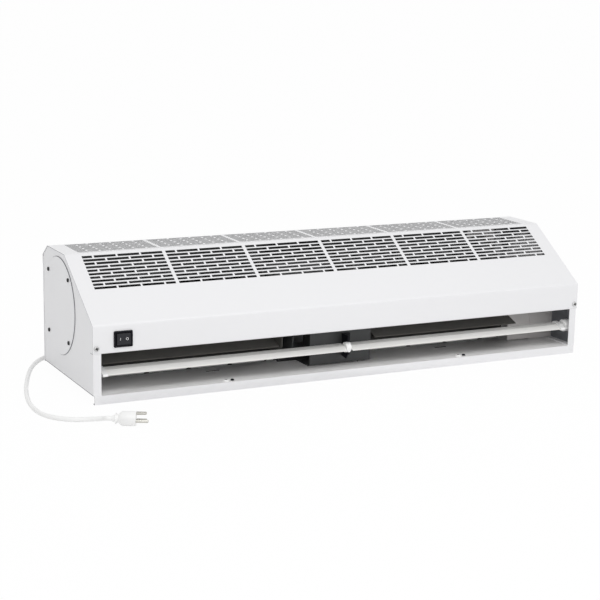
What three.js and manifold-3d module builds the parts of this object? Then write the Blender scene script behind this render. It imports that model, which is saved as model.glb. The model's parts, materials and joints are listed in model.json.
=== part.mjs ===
import * as THREE from 'three';
import { mergeGeometries, mergeVertices } from 'three/addons/utils/BufferGeometryUtils.js';
import Module from 'manifold-3d';

const wasm = await Module();
wasm.setup();

// Air curtain, lying on its wall side. Millimetres. X runs along the case, the air leaves towards -Y,
// Z = 0 is the wall plane, and the origin is the middle of the case's footprint.

// Case
const caseWidth = 900;
const caseDepth = 250;
const caseHeight = 212.5;
const floorHeight = 14; // top of the base floor above the wall plane
const outletHeight = 66; // base floor to the cover's front edge
const frontBand = 45; // upright front face of the cover
const slopeRun = 135;
const chamferRun = 26;
const chamferDrop = 18.5;
const rearLip = 15;
const frontHem = 12;
const lipReturn = 7;
const coverSheet = 1;
const frameSheet = 1.2;
const fit = 0.3; // gap between fitted pieces

// Intake grille
const slotLong = 36.8;
const slotWidth = 5.1;
const slotBridge = 3;
const longSlots = 3; // long slots in a row, beside one short slot
const rowPitch = 7.9;
const blockGap = 5.7;
const grilleSideMargin = 25;
const grilleEdgeMargin = 6.3;
const slopeGrilleDepth = 77;

// End caps and their round covers
const capInset = 1; // the cover's side edges stand this far past the caps
const capFlange = 13;
const capHoleRadius = 66;
const discRadius = 79.5;
const discSheet = 1.4;
const discSides = 32;
const discScrewRadius = 72;

// Screws
const screwHeadRadius = 4.2;
const screwHeadHeight = 2.3;
const screwShankRadius = 1.8;
const screwLength = 8;
const frontScrewInset = 6; // from the case's side edge
const frontScrewRise = 9; // above the cover's front edge
const screwSides = 7;

// Rocker switch
const switchInset = 49; // centre from the case's left edge
const switchRise = 21.5; // centre above the cover's front edge
const bezelWidth = 30.4;
const bezelHeight = 25.5;
const bezelThickness = 2;
const switchBodyWidth = 27;
const switchBodyHeight = 22;
const switchBodyDepth = 26;
const switchWall = 1.4;
const rockerProud = 2.6;
const rockerPivotDepth = 4; // behind the bezel's face
const rockerTailRadius = 8;

// Blowers
const axisDepth = 165; // shaft axis behind the outlet face
const axisRise = 110; // shaft axis above the base floor
const wheelRadius = 60;
const bladeDepth = 11;
const bladeSheet = 0.9;
const bladeCount = 20;
const wheelDisc = 1.5;
const wheelHubRadius = 12;
const wheelHubLength = 10;
const shaftRadius = 4;
const wheelGap = 5; // between a wheel and its side plates
const blowerEndGap = 2; // from the end cap's flange
const leftBlowerEnd = -112.4;
const rightBlowerStart = 56.5;
const rightBlowerTrayGap = 47;
const voluteStart = 42; // degrees above the rearward horizontal
const voluteEnd = -80;
const voluteStartRadius = 66;
const voluteEndRadius = 96;
const voluteSteps = 9;
const voluteFootDepth = 102; // where the volute sheet lands on the base floor
const leftVoluteEnd = -66;
const rightVolutePastTray = 13; // the sheet runs on behind the wiring tray
const leftNotchMiddle = -250;
const rightNotchMiddle = 241.5;
const notchOffsets = [-158, -74, 0, 74, 158];
const notchRadius = 4.5;
const plateFrontDepth = 34;
const plateSeatDepth = 80; // where the other side plates begin, beside the tongue
const plateSeatHeight = 48;
const plateShoulderHeight = 86;
const plateTopRadius = 68;
const ductFrontHeight = 40; // front edge of the upper duct wall above the base floor
const ductTipDepth = 110;
const ductTipHeight = 65.5;
const ductCurl = 12;
const tongueEndGap = 4; // between the front part of a tongue and its side plates
const tongueSeatShare = 0.7; // how far back along the tongue the gap reaches
const bearingBore = 4.3;
const bearingRadius = 11;
const bearingWidth = 9;
const rubberRadius = 16;

// Motor and its cradle
const cradleCentreX = -31;
const cradleSpan = 126;
const motorLength = 112;
const motorRadius = 45;
const motorBossRadius = 16;
const motorBossLength = 14;
const cradleSheet = 1.5;
const cradleLift = 30; // clears the base where the cheeks run back
const cradleFootDepth = 60;
const motorPlateX = [-60, 54.5];
const motorPlateDepth = 38;
const motorPlateHeight = 90;
const motorPlateReturn = 26;

// Vane
const vanePivotDepth = 20;
const vanePivotRise = 33;
const vaneChord = 26;
const vaneThickness = 4.6;
const vaneEdge = 1.8;
const vaneTilt = 17; // degrees, front edge down
const vaneCoreRadius = 2.5;
const vaneCapLength = 9;
const vaneCapWall = 1.6;
const vanePinRadius = 3;
const vaneBearingRadius = 11;
const vaneBearingWidth = 13;
const clipRadius = 10;
const clipWidth = 9;
const clipSlot = 1; // room each side of the clip
const finSheet = 1.5;
const finFlange = 14;
const finHeight = 40;
const finReach = 4.3; // in front of the pivot, so the clip's seat is open at the front

// Wiring tray, capacitor and terminals
const trayWidth = 48.5;
const trayFrontDepth = 70;
const trayRise = 86;
const trayShelf = 125;
const trayReturn = 20;
const capacitorSize = [34, 56, 26];
const strapWidth = 12;
const strapSheet = 0.8;
const terminalSize = [30, 42, 16];
const terminalWays = 4;

// Wall bracket
const bracketInset = 70; // from the case's ends
const bracketWidth = 80;
const bracketSheet = 2;
const bracketSlots = 4;
const bracketSlot = [30, 8];

// Floor details
const floorSlotShare = 0.484; // of half the case's width
const floorSlotDepth = 76.5;
const floorSlotSize = [24, 4];
const floorScrewOffset = -6; // along X from the slot's middle
const floorScrewDepth = 9;
const floorHoleOffset = 12;
const floorHoleRadius = 3;

// Mains cord
const cordRadius = 3.5;
const cordSides = 7;
const cordFloor = 3.6; // height of the cord's centre where it lies
const glandInset = 188; // from the case's left edge
const glandHeight = 30;
const glandLength = 34;
const glandFlange = 3;
const glandRadius = 7.5;
const glandSides = 12;
const coilInset = 115; // centre from the case's left edge
const coilY = 243.9;
const coilInner = 28.5; // innermost centreline radius
const coilTurns = 4;
const coilPitch = 7.6;
const coilLayer = 7.6;
const coilBase = 4.4;
const coilSides = 6;
const coilStepsPerTurn = 20;
const coilSoftness = 0.5; // radians over which the spiral turns back
const tieSheet = 0.7;
const tieWidth = 8;
const plugPlace = [-9.8, -235.7]; // from the case's left edge, and across
const plugAngle = -24.8; // degrees about Z
const plugRoll = -70; // degrees about its own length
const plugHalfWidth = 11;
const plugHalfDepth = 10;
const plugLength = 35.5;
const plugCollarRadius = 8.7;
const plugNeckRadius = 6.3;
const bladeLength = 17;
const bladeWidth = 6.3;
const bladeThickness = 1.5;
const bladeSpacing = 12.7;
const pinLength = 20;
const pinRadius = 2.4;
const pinOffset = 11.5; // ground pin from the line of the blades

// Places worked out from the sizes
const frontProud = bezelThickness + rockerProud;
const front = (frontProud - caseDepth) / 2;
const rear = front + caseDepth;
const halfWidth = caseWidth / 2;
const outletTop = floorHeight + outletHeight;
const capOuterX = halfWidth - capInset;
const capInnerX = capOuterX - frameSheet;
const baseHalf = capInnerX - fit;
const panelOuter = rear - coverSheet - fit;
const panelInner = panelOuter - frameSheet;
const baseRear = panelInner - fit;
const axisY = front + axisDepth;
const axisZ = floorHeight + axisRise;
const pivotY = front + vanePivotDepth;
const pivotZ = floorHeight + vanePivotRise;
const frontScrewZ = outletTop + frontScrewRise;
const switchZ = outletTop + switchRise;
const switchCentreX = switchInset - halfWidth;
const glandX = glandInset - halfWidth;
const coilCentre = [coilInset - halfWidth, coilY];
const bracketLength = caseWidth - 2 * bracketInset;
const floorSlotX = halfWidth * floorSlotShare;
const trayLeftX = capInnerX - fit - trayWidth;
const leftBlower = [capFlange + blowerEndGap - capOuterX, leftBlowerEnd];
const rightBlower = [rightBlowerStart, trayLeftX - rightBlowerTrayGap];
const rightVoluteEnd = trayLeftX + rightVolutePastTray;

const coverPath = [
  point(front, outletTop),
  point(front, outletTop + frontBand),
  point(front + slopeRun, caseHeight),
  point(rear - chamferRun, caseHeight),
  point(rear, caseHeight - chamferDrop),
  point(rear, caseHeight - chamferDrop - rearLip),
];

// Colours: [colour, roughness, metalness]
const finishes = {
  paint: new THREE.MeshStandardMaterial({ color: 0xe6e7ea, roughness: 0.45, metalness: 0 }),
  galvanised: new THREE.MeshStandardMaterial({ color: 0x9a9c9c, roughness: 0.45, metalness: 0.8 }),
  darkSheet: new THREE.MeshStandardMaterial({ color: 0x4a4844, roughness: 0.6, metalness: 0.3 }),
  motorSteel: new THREE.MeshStandardMaterial({ color: 0x3c3e40, roughness: 0.5, metalness: 0.6 }),
  wheelSteel: new THREE.MeshStandardMaterial({ color: 0x5a5c5e, roughness: 0.5, metalness: 0.6 }),
  screwSteel: new THREE.MeshStandardMaterial({ color: 0x8a8c8e, roughness: 0.35, metalness: 0.9 }),
  vanePlastic: new THREE.MeshStandardMaterial({ color: 0xe1e1dc, roughness: 0.4, metalness: 0 }),
  blackPlastic: new THREE.MeshStandardMaterial({ color: 0x222226, roughness: 0.4, metalness: 0 }),
  rubber: new THREE.MeshStandardMaterial({ color: 0x1c1c1c, roughness: 0.8, metalness: 0 }),
  cordPlastic: new THREE.MeshStandardMaterial({ color: 0xe8e8e6, roughness: 0.5, metalness: 0 }),
  plated: new THREE.MeshStandardMaterial({ color: 0xb4b4ae, roughness: 0.3, metalness: 0.9 }),
};

const airCurtain = new THREE.Group();

// Helpers

function point(a, b) {
  return new THREE.Vector2(a, b);
}

// A closed geometry as a manifold solid, turned right side out
function solid(geometry) {
  const plain = geometry.index ? geometry.toNonIndexed() : geometry.clone();
  plain.deleteAttribute('normal');
  plain.deleteAttribute('uv');
  const merged = mergeVertices(plain, 1e-4);
  const corners = merged.index.array;
  const kept = [];
  for (let i = 0; i < corners.length; i += 3) {
    const [a, b, c] = [corners[i], corners[i + 1], corners[i + 2]];
    if (a !== b && b !== c && c !== a) kept.push(a, b, c);
  }
  const mesh = new wasm.Mesh({
    numProp: 3,
    vertProperties: new Float32Array(merged.attributes.position.array),
    triVerts: new Uint32Array(kept),
  });
  return new wasm.Manifold(mesh);
}

function cut(body, ...tools) {
  return tools.reduce((left, tool) => left.subtract(tool), body);
}

function join(body, ...others) {
  return others.reduce((whole, other) => whole.add(other), body);
}

function toGeometry(body) {
  const mesh = body.getMesh();
  const positions = new Float32Array(mesh.numVert * 3);
  for (let i = 0; i < mesh.numVert; i += 1) {
    for (let k = 0; k < 3; k += 1) positions[i * 3 + k] = mesh.vertProperties[i * mesh.numProp + k];
  }
  const geometry = new THREE.BufferGeometry();
  geometry.setAttribute('position', new THREE.BufferAttribute(positions, 3));
  geometry.setIndex(Array.from(mesh.triVerts));
  geometry.computeVertexNormals();
  return geometry;
}

function addPart(name, body, finish, parent = airCurtain) {
  const mesh = new THREE.Mesh(toGeometry(body), finishes[finish]);
  mesh.name = name;
  parent.add(mesh);
  return mesh;
}

function addGroup(x, y, z) {
  const holder = new THREE.Group();
  holder.position.set(x, y, z);
  airCurtain.add(holder);
  return holder;
}

function prism(outline, length, basis, offset) {
  const shape = new THREE.Shape(outline);
  const geometry = new THREE.ExtrudeGeometry(shape, { depth: length, bevelEnabled: false });
  geometry.applyMatrix4(new THREE.Matrix4().makeBasis(...basis));
  return solid(geometry.translate(...offset));
}

const unitX = new THREE.Vector3(1, 0, 0);
const unitY = new THREE.Vector3(0, 1, 0);
const unitZ = new THREE.Vector3(0, 0, 1);
const downY = new THREE.Vector3(0, -1, 0);

// Outlines in (y, z), pushed along X
function alongX(outline, from, to) {
  return prism(outline, to - from, [unitY, unitZ, unitX], [from, 0, 0]);
}

// Outlines in (x, z), pushed along Y
function alongY(outline, from, to) {
  return prism(outline, to - from, [unitX, unitZ, downY], [0, to, 0]);
}

// Outlines in (x, y), pushed along Z
function alongZ(outline, from, to) {
  return prism(outline, to - from, [unitX, unitY, unitZ], [0, 0, from]);
}

function block(x0, x1, y0, y1, z0, z1) {
  const geometry = new THREE.BoxGeometry(x1 - x0, y1 - y0, z1 - z0);
  return solid(geometry.translate((x0 + x1) / 2, (y0 + y1) / 2, (z0 + z1) / 2));
}

function circle(a, b, radius, sides) {
  const outline = [];
  for (let i = 0; i < sides; i += 1) {
    const angle = ((i + 0.5) / sides) * Math.PI * 2;
    outline.push(point(a + radius * Math.cos(angle), b + radius * Math.sin(angle)));
  }
  return outline;
}

function arc(a, b, radius, fromDegrees, toDegrees, steps) {
  const outline = [];
  for (let i = 0; i <= steps; i += 1) {
    const angle = THREE.MathUtils.degToRad(fromDegrees + ((toDegrees - fromDegrees) * i) / steps);
    outline.push(point(a + radius * Math.cos(angle), b + radius * Math.sin(angle)));
  }
  return outline;
}

// Moves a path to the right of its direction of travel, with mitred corners
function offsetPath(path, distance, closed = false) {
  const count = path.length;
  return path.map((here, i) => {
    const before = i > 0 || closed ? path[(i + count - 1) % count] : null;
    const after = i < count - 1 || closed ? path[(i + 1) % count] : null;
    const arriving = before ? here.clone().sub(before).normalize() : null;
    const leaving = after ? after.clone().sub(here).normalize() : arriving;
    const first = arriving ?? leaving;
    const normalA = point(first.y, -first.x);
    const normalB = point(leaving.y, -leaving.x);
    const scale = distance / (1 + normalA.dot(normalB));
    return here.clone().add(normalA.add(normalB).multiplyScalar(scale));
  });
}

function bentSheet(path, thickness) {
  return [...path, ...offsetPath(path, thickness).reverse()];
}

// Solid of revolution about X, from (distance along X, radius) pairs
function turned(profile, segments) {
  const points = profile.map(([along, radius]) => point(radius, along));
  const geometry = new THREE.LatheGeometry(points, segments);
  return solid(geometry.rotateZ(-Math.PI / 2));
}

// Rings of equal point counts joined into a closed solid
function loft(rings) {
  const sides = rings[0].length;
  const positions = rings.flat().flatMap((v) => [v.x, v.y, v.z]);
  const faces = [];
  for (let r = 0; r < rings.length - 1; r += 1) {
    for (let i = 0; i < sides; i += 1) {
      const a = r * sides + i;
      const b = r * sides + ((i + 1) % sides);
      faces.push(a, b, b + sides, a, b + sides, a + sides);
    }
  }
  const last = (rings.length - 1) * sides;
  for (let i = 1; i < sides - 1; i += 1) {
    faces.push(0, i + 1, i, last, last + i, last + i + 1);
  }
  const geometry = new THREE.BufferGeometry();
  geometry.setAttribute('position', new THREE.BufferAttribute(new Float32Array(positions), 3));
  geometry.setIndex(faces);
  return geometry;
}

function heightOnLine(y, from, to) {
  return from.y + ((y - from.x) * (to.y - from.y)) / (to.x - from.x);
}

// Intake slots

// Centres and lengths of the slots in one row of a block, starting at x = 0
function slotRow(rowIndex) {
  const slotShort = (slotLong - slotBridge) / 2;
  const lengths = [slotShort, ...Array(longSlots).fill(slotLong)];
  if (rowIndex % 2 === 1) lengths.reverse();
  let x = 0;
  return lengths.map((length) => {
    const slot = { centre: x + length / 2, length };
    x += length + slotBridge;
    return slot;
  });
}

// All slots of one grille, cut into the sheet that runs from one crease to another
function grilleCutter(from, to, depthAvailable) {
  const along = to.clone().sub(from).normalize();
  const blockWidth = (slotLong - slotBridge) / 2 + longSlots * (slotLong + slotBridge);
  const blockPitch = blockWidth + blockGap;
  const blocks = Math.floor((caseWidth - 2 * grilleSideMargin + blockGap) / blockPitch);
  const rows = Math.floor((depthAvailable - slotWidth) / rowPitch) + 1;
  const startX = -(blocks * blockPitch - blockGap) / 2;
  const boxes = [];
  for (let row = 0; row < rows; row += 1) {
    const down = grilleEdgeMargin + slotWidth / 2 + row * rowPitch;
    for (let column = 0; column < blocks; column += 1) {
      for (const slot of slotRow(row)) {
        const box = new THREE.BoxGeometry(slot.length, slotWidth, coverSheet * 6);
        boxes.push(box.translate(startX + column * blockPitch + slot.centre, down, 0));
      }
    }
  }
  const merged = mergeGeometries(boxes);
  const alongVector = new THREE.Vector3(0, along.x, along.y);
  const normal = new THREE.Vector3().crossVectors(unitX, alongVector);
  merged.applyMatrix4(new THREE.Matrix4().makeBasis(unitX, alongVector, normal));
  return solid(merged.translate(0, from.x, from.y));
}

// Case

function makeCover() {
  const hem = point(front + frontHem, outletTop);
  const outline = bentSheet([hem, ...coverPath], coverSheet);
  const sheet = alongX(outline, -halfWidth, halfWidth);
  const topDepth = coverPath[3].x - coverPath[2].x - 2 * grilleEdgeMargin;
  const slopeGrille = grilleCutter(coverPath[2], coverPath[1], slopeGrilleDepth);
  const topGrille = grilleCutter(coverPath[2], coverPath[3], topDepth);
  const window = block(
    switchCentreX - switchBodyWidth / 2 - fit, switchCentreX + switchBodyWidth / 2 + fit,
    front - coverSheet, front + 2 * coverSheet,
    switchZ - switchBodyHeight / 2 - fit, switchZ + switchBodyHeight / 2 + fit,
  );
  const holes = [-1, 1].map((side) => frontScrewHole(side));
  const hemEnd = capOuterX - capFlange - fit;
  const notches = [-1, 1].map((side) => block(
    Math.min(side * hemEnd, side * caseWidth), Math.max(side * hemEnd, side * caseWidth),
    front + coverSheet, front + frontHem + 1, outletTop - 1, outletTop + coverSheet,
  ));
  return cut(sheet, slopeGrille, topGrille, window, ...holes, ...notches);
}

function frontScrewHole(side) {
  const outline = circle(side * (halfWidth - frontScrewInset), frontScrewZ, screwShankRadius + fit, screwSides);
  return alongY(outline, front - coverSheet, front + screwLength);
}

// The end cap's outline lies inside the cover's sheet and in front of the rear panel
function capOutline() {
  const inner = offsetPath(coverPath, coverSheet + fit);
  const capTop = heightOnLine(baseRear, inner[3], inner[4]);
  return [
    point(inner[1].x, floorHeight),
    inner[1],
    inner[2],
    inner[3],
    point(baseRear, capTop),
    point(baseRear, floorHeight),
  ];
}

function makeEndCap(side) {
  const outline = capOutline();
  const inside = offsetPath(outline, frameSheet, true);
  const inner = Math.min(side * (capOuterX - capFlange), side * capOuterX);
  const outer = Math.max(side * (capOuterX - capFlange), side * capOuterX);
  const tray = alongX(outline, inner, outer);
  const hollow = alongX(
    inside,
    side > 0 ? inner - frameSheet : inner + frameSheet,
    side > 0 ? outer - frameSheet : outer + frameSheet,
  );
  const discHole = alongX(circle(axisY, axisZ, capHoleRadius, discSides), inner - 1, outer + 1);
  const screwHoles = discScrewPlaces().map(([y, z]) => (
    alongX(circle(y, z, screwShankRadius + fit, screwSides), inner - 1, outer + 1)
  ));
  return cut(tray, hollow, discHole, frontScrewHole(side), ...screwHoles);
}

function discScrewPlaces() {
  const step = discScrewRadius / Math.SQRT2;
  return [[1, 1], [1, -1], [-1, -1], [-1, 1]].map(([a, b]) => [axisY + a * step, axisZ + b * step]);
}

function makeRoundCover(side) {
  const edge = discSheet / 3;
  const disc = turned([
    [0, 0],
    [0, discRadius],
    [discSheet - edge, discRadius],
    [discSheet, discRadius - edge],
    [discSheet, 0],
  ], discSides);
  const placed = (side > 0 ? disc : disc.rotate([0, 0, 180])).translate([side * capOuterX, axisY, axisZ]);
  const reach = capOuterX - 2 * discSheet;
  const far = capOuterX + 2 * discSheet;
  const holes = discScrewPlaces().map(([y, z]) => (
    alongX(circle(y, z, screwShankRadius + fit, screwSides), Math.min(side * reach, side * far),
      Math.max(side * reach, side * far))
  ));
  return cut(placed, ...holes);
}

// Pan-head screw along +X, head outwards, seat at x = 0
function makeScrew(length = screwLength) {
  return turned([
    [-length, 0],
    [-length, screwShankRadius],
    [0, screwShankRadius],
    [0, screwHeadRadius],
    [screwHeadHeight, screwHeadRadius * 0.6],
    [screwHeadHeight, 0],
  ], screwSides);
}

function addScrew(name, x, y, z, turnZ, turnY = 0) {
  const screw = addPart(name, makeScrew(), 'screwSteel');
  screw.position.set(x, y, z);
  screw.rotation.set(0, turnY, turnZ);
}

function makeRearPanel() {
  const low = floorHeight - frameSheet;
  const sheet = block(-halfWidth, halfWidth, panelInner, panelOuter, low, caseHeight - chamferDrop - fit * 10);
  const hole = alongY(circle(glandX, glandHeight, glandRadius + 2 * fit, glandSides), panelInner - 1, panelOuter + 1);
  return cut(sheet, hole);
}

function makeBasePlate() {
  const path = [
    point(front + lipReturn, 0),
    point(front, 0),
    point(front, floorHeight),
    point(baseRear, floorHeight),
  ];
  const sheet = alongX(bentSheet(path, frameSheet), -baseHalf, baseHalf);
  const tools = [];
  for (const side of [-1, 1]) {
    const slotX = side * floorSlotX;
    const slotY = front + floorSlotDepth;
    tools.push(block(
      slotX - floorSlotSize[0] / 2, slotX + floorSlotSize[0] / 2,
      slotY - floorSlotSize[1] / 2, slotY + floorSlotSize[1] / 2,
      floorHeight - 3 * frameSheet, floorHeight + 1,
    ));
    const screwX = side * floorSlotX + floorScrewOffset;
    const screwY = front + floorScrewDepth;
    const spots = [[screwX, screwShankRadius + fit], [screwX + floorHoleOffset, floorHoleRadius]];
    for (const [x, radius] of spots) {
      tools.push(alongZ(circle(x, screwY, radius, screwSides), floorHeight - 3 * frameSheet, floorHeight + 1));
    }
  }
  return cut(sheet, ...tools);
}

function makeWallBracket() {
  const top = floorHeight - frameSheet - fit;
  const near = -bracketWidth / 2;
  const far = bracketWidth / 2;
  const path = [point(near, top), point(near, 0), point(far, 0), point(far, top)];
  const outline = bentSheet(path.reverse(), bracketSheet);
  const channel = alongX(outline, -bracketLength / 2, bracketLength / 2);
  const pitch = bracketLength / bracketSlots;
  const slots = [];
  for (let i = 0; i < bracketSlots; i += 1) {
    const x = (i + 0.5) * pitch - bracketLength / 2;
    slots.push(block(
      x - bracketSlot[0] / 2, x + bracketSlot[0] / 2,
      -bracketSlot[1] / 2, bracketSlot[1] / 2, -1, bracketSheet + 1,
    ));
  }
  return cut(channel, ...slots);
}

// Rocker switch

function makeSwitchHousing() {
  const bezel = block(
    -bezelWidth / 2, bezelWidth / 2, -bezelThickness, 0, -bezelHeight / 2, bezelHeight / 2,
  );
  const body = block(
    -switchBodyWidth / 2, switchBodyWidth / 2, -bezelThickness / 2, switchBodyDepth,
    -switchBodyHeight / 2, switchBodyHeight / 2,
  );
  const wellWidth = switchBodyWidth / 2 - switchWall;
  const wellHeight = switchBodyHeight / 2 - switchWall;
  const well = block(-wellWidth, wellWidth, -bezelThickness - 1, switchBodyDepth / 2, -wellHeight, wellHeight);
  const pocketReach = wellHeight + switchWall * 0.6;
  const pocket = alongZ(
    circle(0, rockerPivotDepth - bezelThickness, rockerPinRadius() + fit, 10), -pocketReach, pocketReach,
  );
  return cut(join(bezel, body), well, pocket);
}

function rockerPinRadius() {
  return switchWall;
}

// The rocker turns about Z at its own origin
function makeRocker() {
  const half = switchBodyWidth / 2 - switchWall - 1;
  const halfHeight = switchBodyHeight / 2 - switchWall - fit;
  const face = -(rockerPivotDepth + rockerProud);
  const outline = [
    point(-half, face),
    point(0, face + 0.9),
    point(half, face),
    point(half, 0),
    ...arc(0, 0, rockerTailRadius, -10, 190, 8).map((p) => point(p.x, Math.abs(p.y))),
    point(-half, 0),
  ];
  const body = alongZ(outline.reverse(), -halfHeight, halfHeight);
  const pinReach = switchBodyHeight / 2 - switchWall + switchWall * 0.3;
  return join(body, alongZ(circle(0, 0, rockerPinRadius(), 10), -pinReach, pinReach));
}

// Vane

function vaneSection(grow) {
  const half = vaneChord / 2 + grow;
  const middle = vaneThickness / 2 + grow;
  const edge = vaneEdge / 2 + grow;
  const shoulder = half - vaneEdge;
  return [
    point(-half, -edge * 0.4), point(-shoulder, -edge), point(0, -middle), point(shoulder, -edge),
    point(half, -edge * 0.4), point(half, edge * 0.4), point(shoulder, edge), point(0, middle),
    point(-shoulder, edge), point(-half, edge * 0.4),
  ];
}

const vaneCapOuter = capOuterX - capFlange - 4;
const vaneBladeEnd = vaneCapOuter - vaneCapLength;

function makeVaneBlade() {
  const gap = clipWidth / 2 + clipSlot;
  const section = vaneSection(0);
  const core = alongX(circle(0, 0, vaneCoreRadius, 12), -vaneBladeEnd + 1, vaneBladeEnd - 1);
  return join(
    alongX(section, -vaneBladeEnd, -gap),
    alongX(section, gap, vaneBladeEnd),
    core,
  );
}

function makeVaneCap(side) {
  const inner = vaneBladeEnd + fit;
  const pinEnd = capInnerX - 3;
  const span = (a, b) => [Math.min(side * a, side * b), Math.max(side * a, side * b)];
  const head = alongX(vaneSection(vaneCapWall), ...span(inner, vaneCapOuter));
  const pin = alongX(circle(0, 0, vanePinRadius, 12), ...span(vaneCapOuter - 1, pinEnd));
  return join(head, pin);
}

function makeVaneBearing(side) {
  const outerX = capInnerX - fit;
  const innerX = outerX - vaneBearingWidth;
  const from = Math.min(side * innerX, side * outerX);
  const to = Math.max(side * innerX, side * outerX);
  const body = alongX(circle(pivotY, pivotZ, vaneBearingRadius, 8), from, to);
  return cut(body, alongX(circle(pivotY, pivotZ, vanePinRadius + fit, 12), from - 1, to + 1));
}

function makeVaneClip() {
  const ring = alongX(circle(pivotY, pivotZ, clipRadius, 20), -clipWidth / 2, clipWidth / 2);
  const bore = alongX(circle(pivotY, pivotZ, vaneCoreRadius + fit, 12), -clipWidth, clipWidth);
  return cut(ring, bore);
}

// Fin that reaches forward from the motor plate and holds the clip
function makeVaneBracket() {
  const back = front + motorPlateDepth - fit;
  const low = pivotZ - finHeight / 2;
  const high = pivotZ + finHeight / 2;
  const outline = [
    point(back, low + 2),
    point(pivotY + 1, low),
    point(pivotY - finReach, pivotZ - clipRadius - 2),
    point(pivotY - finReach, high),
    point(back, high),
  ];
  const fin = alongX(outline.reverse(), -finSheet / 2, finSheet / 2);
  const flange = block(-finSheet / 2, finFlange, back - finSheet, back, low + 2, high);
  const seat = alongX(circle(pivotY, pivotZ, clipRadius + fit, 20), -finSheet, finSheet);
  return cut(join(fin, flange), seat);
}

// Blowers

// Inner face of the scroll: up-leg, spiral round the wheel, and the sheet down to the base floor
function volutePath() {
  const spiral = [];
  for (let i = 0; i <= voluteSteps; i += 1) {
    const share = i / voluteSteps;
    const angle = THREE.MathUtils.degToRad(voluteStart + (voluteEnd - voluteStart) * share);
    const radius = voluteStartRadius + (voluteEndRadius - voluteStartRadius) * share;
    spiral.push(point(axisY + radius * Math.cos(angle), axisZ + radius * Math.sin(angle)));
  }
  const legTop = point(spiral[0].x + 4, caseHeight - coverSheet - fit);
  const foot = point(front + voluteFootDepth, floorHeight + frameSheet + fit);
  return [legTop, ...spiral, foot];
}

function makeVolute(fromX, toX, notchMiddle) {
  const path = volutePath();
  const sheet = alongX([...path, ...offsetPath(path, -frameSheet).reverse()].reverse(), fromX, toX);
  const notches = notchOffsets.map((offset) => alongZ(
    circle(notchMiddle + offset, front + voluteFootDepth, notchRadius, 8), floorHeight - 1, floorHeight + 8,
  ));
  return cut(sheet, ...notches);
}

function makeSidePlate(x, holeRadius, frontDepth, frontHeight) {
  const scroll = offsetPath(volutePath().slice(1), fit);
  const foot = scroll[scroll.length - 1];
  const low = floorHeight + fit;
  const outline = [
    ...scroll.slice(0, -1),
    point(foot.x, foot.y),
    point(foot.x - 2, low),
    point(front + frontDepth, floorHeight + frontHeight),
    point(front + frontDepth, floorHeight + plateShoulderHeight),
    ...arc(axisY, axisZ, plateTopRadius, 212, voluteStart + 4, 9),
  ];
  const plate = alongX(outline, x, x + frameSheet);
  return cut(plate, alongX(circle(axisY, axisZ, holeRadius, 16), x - 1, x + frameSheet + 1));
}

// Upper duct wall: its rear part reaches the side plates, its front part stops short of them
function makeTongue(fromX, toX) {
  const tip = point(front + ductTipDepth, floorHeight + ductTipHeight);
  const edge = point(front + plateFrontDepth + 2, floorHeight + ductFrontHeight);
  const seat = edge.clone().lerp(tip, tongueSeatShare);
  const curl = point(tip.x - ductCurl / 2, tip.y + ductCurl);
  const wall = alongX(bentSheet([edge, tip, curl], -frameSheet), fromX + tongueEndGap, toX - tongueEndGap);
  return join(wall, alongX(bentSheet([seat, tip, curl], -frameSheet), fromX + fit, toX - fit));
}

// Tangential wheel: end discs with hubs, joined by forward-curved blades
function makeWheel(length) {
  const blades = [];
  const inner = wheelRadius - bladeDepth;
  for (let i = 0; i < bladeCount; i += 1) {
    const turn = (i / bladeCount) * Math.PI * 2;
    const mid = inner + bladeDepth / 2;
    const radii = [inner, mid, wheelRadius - 0.5];
    const leads = [0, 0.035, 0.11];
    const place = (k, thick) => {
      const angle = turn + leads[k] + thick / radii[k];
      return point(radii[k] * Math.cos(angle), radii[k] * Math.sin(angle));
    };
    const outline = [0, 1, 2].map((k) => place(k, 0)).concat([2, 1, 0].map((k) => place(k, bladeSheet)));
    blades.push(alongX(outline.reverse(), wheelDisc / 2, length - wheelDisc / 2));
  }
  const discs = [0, length - wheelDisc].map((x) => alongX(circle(0, 0, wheelRadius, 32), x, x + wheelDisc));
  const hubs = [0, length - wheelHubLength].map((x) => (
    alongX(circle(0, 0, wheelHubRadius, 12), x, x + wheelHubLength)
  ));
  const bore = alongX(circle(0, 0, shaftRadius + fit, 12), -1, length + 1);
  return cut(join(discs[0], discs[1], ...hubs, ...blades), bore);
}

function makeRing(outer, bore, width) {
  const ring = alongX(circle(axisY, axisZ, outer, 14), -width / 2, width / 2);
  return cut(ring, alongX(circle(axisY, axisZ, bore, 14), -width, width));
}

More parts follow.
